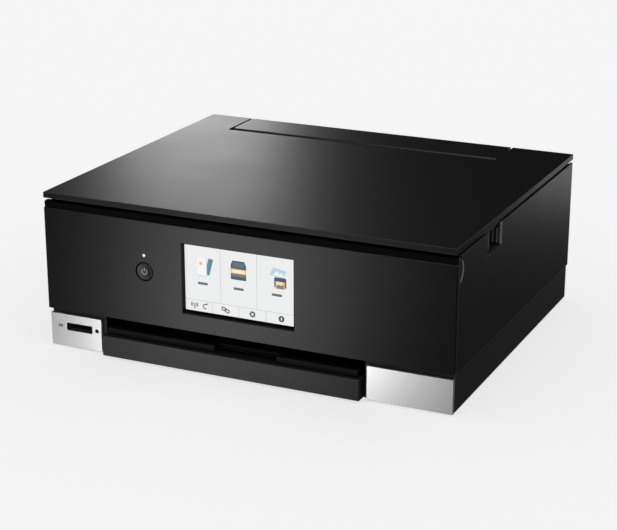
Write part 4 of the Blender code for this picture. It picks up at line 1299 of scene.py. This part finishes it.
@dataclass
class Scanner:
    """Scanner unit with its glass, scan bar, hinges and side grips."""

    lid_axis: Span = (304.0, 130.0)
    arm_axis: Span = (190.0, 101.5)

    def build(self) -> None:
        """Builds the unit and what moves in it."""
        refine("scanner_base", TEXTURED, "scanner", 0.6)
        refine("scanner_frame", TEXTURED, "scanner", 0.6)
        shape = Shape().node("platen_glass").bevel(0.3, 1)
        shape.piece("platen_glass_sheet", GLASS, "scanner", ["platen_glass"])
        self.marks()
        self.grips()
        self.drive()
        self.hinges()

    def marks(self) -> None:
        """Size ticks beside the glass and the corner arrow, without figures."""
        top = Region.of("scanner_frame").z[1] + 0.01
        length, wide, thick = 3.2, 0.5, 0.06
        left = row((-153.0, 40.0, top), (0, 20.0, 0), 10)
        front = row((-130.0, 21.0, top), (20.0, 0, 0), 14)
        shape = Shape().add(grow(blocks_tree(), left, PALE_MARK, Size=(length, wide, thick)))
        shape.add(grow(blocks_tree(), front, PALE_MARK, Size=(wide, length, thick)))
        shape.piece("glass_ticks", PALE_MARK, "scanner")
        arrow = [(-151.5, 22.5), (-157.5, 19.2), (-154.6, 25.6)]
        Shape().prism(arrow, Axis.UP, (top - 0.05, top + 0.04)).piece("corner_arrow", PALE_MARK, "scanner")

    def grips(self) -> None:
        """Ribs and rear lip inside the finger grip of each side, in a grey far lighter than the case as
        painted light, and a pale strip at the grip's rear edge as a painted highlight.
        """
        for side, name in ((-1, "left"), (1, "right")):
            inner, outer = side * 175.6, side * 180.6
            shape = Shape()
            for depth in (77.0, 83.6, 90.2):
                shape.block((inner - side * 0.3, outer), (depth - 1.3, depth + 1.3), (110.9, 126.8))
            for x in (178.0, 181.6):
                shape.block((side * (x - 0.7), side * (x + 0.7)), (105.6, 109.2), (113.0, 125.6))
            shape.bevel(0.5, 2).piece(f"grip_ribs_{name}", GRIP_PAINTED_LIGHT, "scanner")
            # pale strip along the grip's rear edge: a painted highlight
            edge = Shape().block((side * 183.9, side * 185.95), (106.7, 107.1), (112.0, 131.3))
            edge.bevel(0.1, 1).piece(f"grip_edge_{name}", MARK, "base")

    def drive(self) -> None:
        """Scan bar with its light guide and lens, its rod and belt, and ribs on the unit's floor."""
        bar = Region.of("scan_bar")
        Shape().node("scan_bar").bevel(0.8).piece("scan_bar_moulding", MATT, "scan_bar", ["scan_bar"])
        span = (bar.depth[0] + 6.0, bar.depth[1] - 6.0)
        x, top = sum(bar.x) / 2, bar.z[1]
        for name, low, high, finish in (("lens_array", -1.0, 1.0, LENS), ("light_guide", -5.5, -2.0, SHEET)):
            strip = Shape().block((x + low, x + high), span, (top - 0.3, top + 0.12)).bevel(0.2, 1)
            strip.piece(f"scan_{name}", finish, "scan_bar")
        Shape().rod((-171.5, 135.0, 111.2), (171.5, 135.0, 111.2), 1.0, 24).piece("scan_rod", STEEL, "scanner")
        Shape().block((-169.0, 169.0), (128.0, 129.0), (110.2, 111.9)).piece("scan_belt", RUBBER, "scanner")
        shape, floor = Shape(), 110.0
        for middle, length in ((80.0, 90.0), (195.0, 96.0)):
            places = row((-156.0, middle, floor + 0.5), (24.0, 0, 0), 14)
            shape.add(grow(blocks_tree(), places, TEXTURED, Size=(1.2, length, 1.4)))
        shape.bevel(0.25, 1).piece("scanner_floor_ribs", TEXTURED, "scanner")

    def hinges(self) -> None:
        """Pins of the lid's hinges, of the flap and of the support arm, and the arm itself."""
        pins = (
            ("lid_pin_left", (-169.6, -158.4), 1.3, "lid"), ("lid_pin_right", (150.4, 161.6), 1.3, "lid"),
            ("flap_pin_left", (-141.4, -134.8), 1.1, "rear_tray_cover"),
            ("flap_pin_right", (119.8, 126.2), 1.1, "rear_tray_cover"),
        )
        for name, x, radius, body in pins:
            Shape().rod((x[0], *self.lid_axis), (x[1], *self.lid_axis), radius, 20).piece(name, STEEL, body)
        refine("support_arm", PRESSED, "support_arm", 0.4)
        shape, end = Shape(), 179.4
        for start, radius in ((171.0, 1.5), (178.2, 2.6)):
            shape.rod((start, *self.arm_axis), (end, *self.arm_axis), radius, 24)
        shape.piece("support_arm_pin", STEEL, "base")


@dataclass
class Lid:
    """Document lid with its pad, and the flap over the rear feed."""

    pad_fill: float = 0.9
    edge_round: float = 0.9
    groove_slope: float = 1.5

    def build(self) -> None:
        """Builds the lid, the pad, the under ribs and the flap."""
        shape = Shape().node("document_lid").bevel(self.edge_round, 3)
        shape.piece("document_lid_moulding", LID_SATIN, "lid", ["document_lid"])
        pad = Region.of("lid_pad")
        foam = Shape().node("lid_pad").bevel(1.4, 3).piece("lid_pad_foam", FOAM, "lid", ["lid_pad"])
        sheet = rounded((pad.x[0] + 1.0, pad.x[1] - 1.0), (pad.depth[0] + 1.0, pad.depth[1] - 1.0), 2.0)
        shape = Shape().prism(sheet, Axis.UP, (pad.z[0] - 0.02, pad.z[0] + 0.5)).bevel(0.15, 1)
        shape.piece("lid_pad_sheet", SHEET, "lid")
        under = Region.of("document_lid").z[1] - 5.0
        places = row((-176.0, 150.0, under - 0.4), (352.0, 0, 0), 2)
        studs("lid_under_ribs", places, (1.4, 250.0, 1.4), LID_SATIN, "lid", 0.3)
        self.flap()

    def flap(self) -> None:
        """Flap, its front top edge sloping down into the groove."""
        flap = Region.of("rear_tray_cover")
        front = at(0.0, flap.depth[0] + 0.4, 0.0).y
        top = at(0.0, 0.0, flap.z[1] - 0.4).z
        shape = Shape().node("rear_tray_cover")
        shape.bevel(self.groove_slope, 1, where=lambda p: p.y < front and p.z > top)
        shape.bevel(0.5, 2).piece("rear_flap_moulding", LID_SATIN, "rear_tray_cover", ["rear_tray_cover"])


# ---------------------------------------------------------------- control panel


@dataclass
class Panel:
    """Tilting control panel: fascia, barrel, screen with its picture, button and lamp."""

    fascia_round: float = 0.55
    picture_x: Span = (-53.0, 46.2)
    picture_z: Span = (52.9, 109.7)
    window_x: Span = (-53.6, 48.6)
    window_z: Span = (50.6, 111.4)
    bar_height: float = 9.6
    axis: tuple[float, float] = (4.5, 119.8)
    button: tuple[float, float] = (-89.4, 81.8)
    lamp: tuple[float, float] = (-89.3, 96.1)
    lamp_radius: float = 1.25

    def build(self) -> None:
        """Builds the panel."""
        shape = Shape().node("panel_fascia").bevel(self.fascia_round, 3)
        shape.piece("fascia_moulding", GLOSS, "panel", ["panel_fascia"])
        # the barrel takes the darker, duller finish as painted shade
        refine("panel_back", SHADED, "panel", 0.35)
        Shape().node("touch_screen").bevel(0.3, 1).piece("screen_glass", LENS, "panel", ["touch_screen"])
        self.liner()
        self.ears()
        self.frames()
        self.copy_icon()
        self.scan_icon()
        self.photo_icon()
        self.bar_icons()
        self.power_button()

    @property
    def glass(self) -> float:
        """Depth of the screen's glass."""
        return Region.of("touch_screen").depth[0]

    def ears(self) -> None:
        """Round ends of the barrel: a satin face, and a pale crescent along its rear edge that is a painted
        highlight.
        """
        depth, height = self.axis
        for name, x in (("left", (-185.95, -185.5)), ("right", (185.5, 185.95))):
            face = arc(11.0, -88, 88, 24, (depth, height))
            Shape().prism(face, Axis.ACROSS, x).bevel(0.15, 1).piece(f"panel_ear_{name}", SIDE_SATIN, "panel")
            # pale crescent on the barrel's end: a painted highlight along its rear edge
            rim = (x[0] - 0.03, x[0] + 0.3) if name == "left" else (x[1] - 0.3, x[1] + 0.03)
            crescent = arc(10.8, -62, 40, 24, (depth, height))
            crescent += arc(10.9, 46, -68, 24, (depth - 2.0, height + 0.6))
            Shape().prism(crescent, Axis.ACROSS, rim).piece(f"panel_ear_edge_{name}", MARK, "panel")

    def liner(self) -> None:
        """Black lining of the window's edge, darker and duller than the fascia as painted shade, and the black
        border printed round the picture.
        """
        x, z = self.window_x, self.window_z
        lining, border = 0.2, 0.25
        inner = rounded((x[0] + lining, x[1] - lining), (z[0] + lining, z[1] - lining), 0.4)
        shape = Shape().ring(rounded(x, z, 0.5), inner, Axis.DEPTH, (0.7, self.glass - 0.02))
        shape.piece("window_lining", SHADED, "panel")
        outer = rounded((x[0] + border, x[1] - border), (z[0] + border, z[1] - border), 0.3)
        picture = rounded(self.picture_x, self.picture_z, 0.3)
        shape = Shape().ring(outer, picture, Axis.DEPTH, (self.glass - 0.04, self.glass - 0.01))
        shape.piece("picture_border", SHADED, "panel")

    def flat(self, name: str, outlines: Sequence[Outline], finish: Finish, layer: int) -> None:
        """Lays a coloured shape on the glass.

        Args:
            name: name of the piece.
            outlines: one outline (x, z) for each separate shape.
            finish: its colour.
            layer: 1 lies on the glass, and each next one on the one before.
        """
        shape = Shape()
        step = 0.05
        for outline in outlines:
            front = self.glass - step * layer
            shape.prism(outline, Axis.DEPTH, (front, front + step - 0.01))
        shape.piece(f"screen_{name}", finish, "panel")

    def spot(self, across: float, up: float) -> tuple[float, float]:
        """Place on the picture from shares of its width and height."""
        x, z = self.picture_x, self.picture_z
        return x[0] + (x[1] - x[0]) * across, z[0] + (z[1] - z[0]) * up

    def plate(self, middle: Span, wide: float, high: float, turn: float = 0.0, radius: float = 0.4,
              lean: float = 0.0) -> list[Span]:
        """Outline of a round-cornered plate, turned and leaning, round its middle.

        Args:
            middle: the middle.
            wide: width.
            high: height.
            turn: turn in degrees.
            radius: radius of the corners.
            lean: shift across for each step up.

        Returns:
            The outline.
        """
        points = rounded((-wide / 2, wide / 2), (-high / 2, high / 2), radius, 3)
        c, s = math.cos(math.radians(turn)), math.sin(math.radians(turn))
        points = [(a + b * lean, b) for a, b in points]
        return [(middle[0] + a * c - b * s, middle[1] + a * s + b * c) for a, b in points]

    def oblong(self, x: Span, z: Span) -> list[Span]:
        """Outline of a plain rectangle."""
        return [(x[0], z[0]), (x[1], z[0]), (x[1], z[1]), (x[0], z[1])]

    def frames(self) -> None:
        """White background, dividing lines and word bars."""
        x, z = self.picture_x, self.picture_z
        self.flat("background", [self.oblong(x, z)], UI_WHITE, 1)
        bar_top, thin, gap = z[0] + self.bar_height, 0.16, 0.3
        lines = [self.oblong(x, (bar_top - thin, bar_top + thin))]
        for share in (1 / 3, 2 / 3):
            a = x[0] + (x[1] - x[0]) * share
            lines.append(self.oblong((a - thin, a + thin), (bar_top + gap, z[1])))
        for share in (0.25, 0.5, 0.75):
            a = x[0] + (x[1] - x[0]) * share
            lines.append(self.oblong((a - thin, a + thin), (z[0], bar_top - gap)))
        self.flat("lines", lines, UI_LINE, 2)
        bars = [self.plate(self.spot(share, 0.437), 9.2, 2.1, radius=0.6) for share in (1 / 6, 1 / 2, 0.85)]
        self.flat("word_bars", bars, UI_GREY, 2)

    def copy_icon(self) -> None:
        """Two sheets, the front one with a star."""
        x, z = self.spot(0.18, 0.70)
        self.flat("copy_back", [self.plate((x + 4.6, z + 0.2), 4.4, 14.6, -7.0, lean=0.14)], UI_TEAL, 2)
        self.flat("copy_shadow", [self.plate((x - 1.9, z - 0.6), 9.4, 16.0)], UI_SKY, 3)
        self.flat("copy_sheet", [self.plate((x - 2.2, z - 0.2), 8.6, 15.4)], UI_PAPER, 4)
        star = []
        for i in range(10):
            turn, reach = math.pi / 2 + math.tau * i / 10, 2.3 if i % 2 == 0 else 1.0
            star.append((x - 2.8 + reach * math.cos(turn), z + 2.4 + reach * math.sin(turn)))
        self.flat("copy_star", [star], UI_ORANGE, 5)

    def scan_icon(self) -> None:
        """A scanner with a bar of light across it."""
        x, z = self.spot(0.5, 0.715)
        half = 7.0
        body = [(x - half, z - 8.0), (x + half, z - 8.0), (x + half, z + 4.5), (x + 5.4, z + 8.2),
                (x - 5.4, z + 8.2), (x - half, z + 4.5)]
        self.flat("scan_body", [body], UI_SLATE, 2)
        self.flat("scan_window", [self.plate((x, z + 4.8), 10.6, 4.6, radius=0.6)], UI_DEEP, 3)
        self.flat("scan_glow", [self.plate((x, z - 0.8), 14.0, 4.4, radius=0.5)], UI_ORANGE, 3)
        self.flat("scan_light", [self.plate((x, z - 0.8), 12.6, 2.9, radius=1.2)], UI_SAND, 4)
        self.flat("scan_core", [self.plate((x, z - 0.8), 9.0, 1.3, radius=0.6)], UI_PAPER, 5)
        self.flat("scan_shelf", [self.plate((x, z - 4.4), 12.6, 1.2, radius=0.4)], UI_TEAL, 3)

    def photo_icon(self) -> None:
        """A printer with a picture coming out of it and a sheet behind."""
        x, z = self.spot(0.865, 0.675)
        self.flat("photo_card", [self.plate((x - 0.2, z + 5.4), 12.2, 7.2, -10.0, lean=0.25)], UI_SKY, 2)
        self.flat("photo_hill", [[(x - 5.2, z + 3.0), (x - 1.4, z + 7.2), (x + 1.6, z + 3.6)],
                                 [(x - 1.0, z + 2.8), (x + 2.8, z + 6.0), (x + 5.2, z + 2.6)]], UI_PAPER, 3)
        self.flat("photo_body", [self.plate((x + 1.6, z - 2.6), 10.8, 8.6, radius=0.8)], UI_SLATE, 4)
        self.flat("photo_sheet", [self.plate((x + 1.6, z - 4.8), 8.4, 6.4)], UI_ORANGE, 5)
        self.flat("photo_sky", [self.plate((x + 0.8, z - 3.2), 6.0, 2.6)], UI_SAND, 6)
        ground = [(x - 1.8, z - 7.6), (x + 4.8, z - 7.6), (x + 4.8, z - 4.0), (x + 2.6, z - 5.0),
                  (x + 0.6, z - 4.2), (x - 1.8, z - 5.6)]
        self.flat("photo_ground", [ground], UI_TEAL, 6)

    def bar_icons(self) -> None:
        """Small signs in the bottom bar: signal, hook, link, gear and a dot on a disc."""
        up = self.bar_height / 2 / (self.picture_z[1] - self.picture_z[0])
        x, z = self.spot(0.085, up)
        waves = []
        for side in (0, 180):
            for reach in (2.2, 3.4):
                outer = arc(reach, side - 42, side + 42, 8, (x, z + 0.6))
                inner = arc(reach - 0.75, side + 42, side - 42, 8, (x, z + 0.6))
                waves.append(outer + inner)
        waves.append(self.plate((x, z - 0.6), 0.9, 4.8, radius=0.2))
        x2, _ = self.spot(0.185, up)
        waves.append(arc(2.4, 60, 300, 12, (x2, z)) + arc(1.5, 300, 60, 12, (x2, z)))
        waves.append(self.plate((x2 + 1.6, z + 2.4), 2.6, 0.9, 30.0, radius=0.2))
        self.flat("bar_signal", waves, UI_GREY, 2)
        x, z = self.spot(0.375, up)
        links = []
        for offset in (-1.5, 1.5):
            ring = self.plate((x + offset, z - offset * 0.45), 5.0, 3.4, -28.0, 1.6)
            hole = self.plate((x + offset, z - offset * 0.45), 3.0, 1.4, -28.0, 0.65)
            half = len(ring) // 2
            for part in (slice(0, half + 1), slice(half, None)):
                outer, inner = ring[part], hole[part]
                if part.start:
                    outer, inner = [*outer, ring[0]], [*inner, hole[0]]
                links.append([*outer, *inner[::-1]])
        self.flat("bar_link", links, UI_GREY, 2)
        x, z = self.spot(0.625, up)
        gear = []
        for i in range(32):
            reach = 2.9 if (i // 2) % 2 == 0 else 2.3
            turn = math.tau * i / 32
            gear.append((x + reach * math.cos(turn), z + reach * math.sin(turn)))
        self.flat("bar_gear", [gear], UI_SLATE, 2)
        self.flat("bar_gear_eye", [arc(1.15, 0, 345, 23, (x, z))], UI_WHITE, 3)
        x, z = self.spot(0.89, up)
        self.flat("bar_disc", [arc(2.7, 0, 350, 35, (x, z))], UI_SLATE, 2)
        self.flat("bar_disc_mark", [self.plate((x, z), 0.9, 2.6, radius=0.4)], UI_PAPER, 3)

    def power_button(self) -> None:
        """Round button with its symbol, and the lamp above it."""
        x, z = self.button
        button = Region.of("power_button")
        front, back = button.depth
        radius = (button.x[1] - button.x[0]) / 2
        profile = [
            (front + 0.25, 0.0), (front + 0.2, radius * 0.5), (front + 0.02, radius - 1.0),
            (front, radius - 0.7), (front + 0.12, radius - 0.25), (front + 0.6, radius), (back, radius),
            (back, 0.0),
        ]
        shape = Shape().turned(profile, (x, 0.0, z), Axis.DEPTH, 64)
        shape.piece("power_button_cap", GLOSS, "power_button", ["power_button"])
        gap, reach, thick = 38.0, 2.7, 0.65
        start, end = 90 + gap, 450 - gap
        ring = arc(reach, start, end, 28, (x, z)) + arc(reach - thick, end, start, 28, (x, z))
        stroke = self.plate((x, z + 1.9), thick, 3.0, radius=0.2)
        shape = Shape()
        for outline in (ring, stroke):
            shape.prism(outline, Axis.DEPTH, (front + 0.05, front + 0.4))
        shape.piece("power_symbol", PALE_MARK, "power_button")
        x, z = self.lamp
        r = self.lamp_radius
        dome = [(-0.22, 0.0), (-0.18, r * 0.6), (-0.02, r), (0.8, r), (0.8, 0.0)]
        shape = Shape().turned(dome, (x, 0.0, z), Axis.DEPTH, 28)
        shape.piece("status_lamp", WHITE_LAMP, "panel")


# ---------------------------------------------------------------- trays


@dataclass
class Trays:
    """Output tray, its extension and the paper cassette."""

    rib_pitch: float = 16.2

    def build(self) -> None:
        """Builds the trays."""
        tray = Region.of("output_tray")
        refine("output_tray", TRAY_SATIN, "output_tray", 0.5)
        ribs = row((tray.x[0] + 8.0, 92.0, tray.z[1] + 0.2), (self.rib_pitch, 0, 0), 14)
        studs("output_tray_ribs", ribs, (1.2, 138.0, 0.8), TRAY_SATIN, "output_tray", 0.25)
        refine("output_extension", TRAY_SATIN, "output_extension", 0.4)
        extension = Region.of("output_extension")
        places = row((sum(extension.x) / 2, 13.0, extension.z[1] + 0.1), (0, 1.8, 0), 5)
        studs("output_extension_grip", places, (26.0, 0.8, 0.4), TRAY_SATIN, "output_extension", 0.1)
        Shape().node("cassette_front").bevel(0.7, 3).piece(
            "cassette_front_moulding", SATIN, "cassette_front", ["cassette_front"]
        )
        self.cassette()

    def cassette(self) -> None:
        """Cassette with floor ribs, separation pad, size marks and width guides."""
        refine("cassette_tray", MATT, "cassette", 0.4)
        floor = 7.2
        places = row((-88.0, 225.0, floor + 0.25), (17.0, 0, 0), 10)
        studs("cassette_ribs", places, (1.6, 34.0, 0.6), MATT, "cassette", 0.2)
        pad = rounded((-24.0, 2.0), (222.0, 240.0), 2.0)
        Shape().prism(pad, Axis.UP, (floor + 0.3, floor + 1.0)).piece("cassette_cork", RUBBER, "cassette")
        places = row((-60.0, 205.0, floor + 0.02), (12.0, 0, 0), 8)
        studs("cassette_ticks", places, (0.5, 4.0, 0.1), PALE_MARK, "cassette")
        for side in ("left", "right"):
            refine(f"cassette_guide_{side}", GREY, f"cassette_guide_{side}", 0.35)
            guide = Region.of(f"cassette_guide_{side}")
            fin = guide.x[0] if side == "left" else guide.x[1]
            places = row((fin + (1.0 if side == "left" else -1.0), 138.0, guide.z[1] - 3.5), (0, 2.6, 0), 6)
            studs(f"cassette_guide_grip_{side}", places, (2.5, 1.0, 5.0), GREY, f"cassette_guide_{side}", 0.2)


@dataclass
class RearFeed:
    """Rear feed chute, its pull-up support and the two width guides."""

    lean: float = 12.0
    pick_axis: Span = (250.0, 66.0)

    def build(self) -> None:
        """Builds the rear feed."""
        refine("rear_tray", MATT, "base", 0.5)
        plate = Shape().node("paper_support").bevel(0.5)
        plate.piece("paper_support_plate", MATT, "paper_support", ["paper_support"])
        support = Region.of("paper_support")
        shift = math.tan(math.radians(self.lean))
        front = support.depth[0]
        height = support.z[1] - 10.0
        place = front + (height - support.z[0]) * shift - 0.02
        pitch = 1.8
        places = row((-7.5, place, height), (0, pitch * shift, pitch), 5)
        tilt = (-self.lean, 0.0, 0.0)
        studs("paper_support_grip", places, (26.0, 0.5, 0.8), MATT, "paper_support", turn=tilt)
        for side in ("left", "right"):
            refine(f"rear_guide_{side}", GREY, f"rear_guide_{side}", 0.4)
        chute = Region.of("rear_tray")
        back = 268.0
        middle = 98.0
        ribs = row((-130.0, back + (middle - chute.z[0]) * shift - 0.1, middle), (24.5, 0, 0), 11)
        studs("chute_ribs", ribs, (1.4, 0.8, 56.0), MATT, "base", 0.2, tilt)
        pick = Shape().rod((-24.0, *self.pick_axis), (9.0, *self.pick_axis), 7.6, 40)
        pick.rod((-120.0, *self.pick_axis), (97.0, *self.pick_axis), 2.2, 20)
        pick.piece("rear_pick_roller", RUBBER, "base")


# ---------------------------------------------------------------- studio


@dataclass(frozen=True)
class SoftBox:
    """A soft lamp. Places in metres, power in watts. It lights every piece, or only those it names."""

    name: str
    place: Place
    aim: Place
    size: tuple[float, float]
    power: float
    only: tuple[str, ...] = ()

    def build(self, floor: bpy.types.Object) -> bpy.types.Object:
        """Makes the lamp, which leaves the floor dark and isn't seen itself.

        Args:
            floor: the floor.

        Returns:
            The lamp.
        """
        light = bpy.data.lights.new(self.name, "AREA")
        light.shape = "RECTANGLE"
        light.size, light.size_y = self.size
        light.energy = self.power
        obj = bpy.data.objects.new(self.name, light)
        bpy.context.scene.collection.objects.link(obj)
        obj.location = self.place
        obj.rotation_euler = (Vector(self.aim) - Vector(self.place)).to_track_quat("-Z", "Y").to_euler()
        obj.visible_camera = False
        receivers = bpy.data.collections.new(f"{self.name}_receivers")
        for piece in self.only:
            receivers.objects.link(bpy.data.objects[piece])
        if not self.only:
            receivers.objects.link(floor)
            receivers.collection_objects[0].light_linking.link_state = "EXCLUDE"
        obj.light_linking.receiver_collection = receivers
        return obj


@dataclass
class Studio:
    """Pale floor, soft light and the camera. Places in metres, angles in degrees."""

    floor_half: float = 6.0
    floor_colour: Colour = (0.55, 0.55, 0.55)
    floor_glow: float = 0.67
    sky: float = 0.889
    ambient: float = 0.45
    gloss_low: float = 0.003
    gloss_high: float = 0.05
    target: Place = (-0.01255, 0.0047, 0.04952)
    azimuth: float = 24.83
    elevation: float = 18.68
    distance: float = 1.52224
    lens: float = 98.33
    boxes: tuple[SoftBox, ...] = (
        SoftBox("lid_glow", (-0.70, 1.06, 0.365), (-0.23, 0.20, 0.139), (0.25, 0.10), 1.2),
        SoftBox("front_strip", (-0.355, -0.84, -0.17), (0.0, -0.155, 0.08), (0.24, 0.34), 0.62),
        SoftBox("trim_glow", (-0.375, -0.948, -0.27), (0.02, -0.155, 0.05), (0.26, 0.14), 0.88,
                ("left_trim_moulding", "right_trim_moulding")),
        SoftBox("side_glow", (0.40, 0.83, 0.02), (0.186, 0.14, 0.11), (0.26, 0.24), 0.24),
        SoftBox("overhead", (0.2, -0.5, 1.7), (0.0, 0.0, 0.1), (1.4, 1.4), 12.0),
    )

    def build(self) -> None:
        """Builds the studio."""
        floor = self.floor()
        self.world()
        for box in self.boxes:
            box.build(floor)
        self.camera()

    def floor(self) -> bpy.types.Object:
        """A large pale floor.

        Returns:
            The floor.
        """
        mesh = bpy.data.meshes.new("floor")
        h = self.floor_half
        mesh.from_pydata([(-h, -h, 0), (h, -h, 0), (h, h, 0), (-h, h, 0)], [], [(0, 1, 2, 3)])
        obj = bpy.data.objects.new("studio_floor", mesh)
        bpy.context.scene.collection.objects.link(obj)
        material = bpy.data.materials.new("studio_paper")
        material.use_nodes = True
        shader = material.node_tree.nodes["Principled BSDF"]
        shader.inputs["Base Color"].default_value = (*self.floor_colour, 1.0)
        shader.inputs["Roughness"].default_value = 1.0
        shader.inputs["Specular IOR Level"].default_value = 0.0
        shader.inputs["Emission Color"].default_value = (1.0, 1.0, 1.0, 1.0)
        shader.inputs["Emission Strength"].default_value = self.floor_glow
        mesh.materials.append(material)
        obj.visible_glossy = False
        obj.visible_diffuse = False
        obj.visible_shadow = False
        return obj

    def world(self) -> None:
        """Even pale surroundings, which gloss sees darker and brighter overhead."""
        world = bpy.data.worlds.new("studio")
        bpy.context.scene.world = world
        world.use_nodes = True
        w = NodeWriter(world.node_tree)
        world.node_tree.nodes.clear()
        up = w.add("ShaderNodeSeparateXYZ", {0: w.add("ShaderNodeTexCoord").outputs["Generated"]}).outputs["Z"]
        rise = w.add("ShaderNodeMapRange", {
            "Value": up, "From Min": 0.35, "From Max": 0.95,
            "To Min": self.gloss_low, "To Max": self.gloss_high,
        }, interpolation_type="SMOOTHSTEP").outputs[0]
        rays = w.add("ShaderNodeLightPath").outputs
        level = w.add("ShaderNodeMix", {0: rays["Is Glossy Ray"], 2: self.ambient, 3: rise}).outputs[0]
        level = w.add("ShaderNodeMix", {0: rays["Is Camera Ray"], 2: level, 3: self.sky}).outputs[0]
        shade = w.add("ShaderNodeBackground", {"Color": (1.0, 1.0, 1.0, 1.0), "Strength": level})
        w.add("ShaderNodeOutputWorld", {"Surface": shade.outputs[0]})

    def camera(self) -> None:
        """The camera, at the printer's front right and above."""
        data = bpy.data.cameras.new("camera")
        data.sensor_width, data.lens = 36.0, self.lens
        data.clip_start, data.clip_end = 0.05, 50.0
        cam = bpy.data.objects.new("camera", data)
        bpy.context.scene.collection.objects.link(cam)
        a, e = math.radians(self.azimuth), math.radians(self.elevation)
        back = Vector((math.sin(a) * math.cos(e), -math.cos(a) * math.cos(e), math.sin(e)))
        cam.location = Vector(self.target) + back * self.distance
        cam.rotation_euler = (-back).to_track_quat("-Z", "Y").to_euler()
        bpy.context.scene.camera = cam
        bpy.context.scene.view_settings.view_transform = "Standard"


def main() -> None:
    """Builds the printer's looks, sub-assembly by sub-assembly."""
    logging.basicConfig(level=logging.INFO, format="%(message)s")
    mechanism = Mechanism()
    assemblies = (
        OuterCase(), mechanism, Carriage(mechanism), Scanner(), Lid(), Panel(), Trays(), RearFeed(), Studio(),
    )
    for assembly in assemblies:
        LOG.info("building %s", type(assembly).__name__)
        assembly.build()


if __name__ == "__main__":
    main()
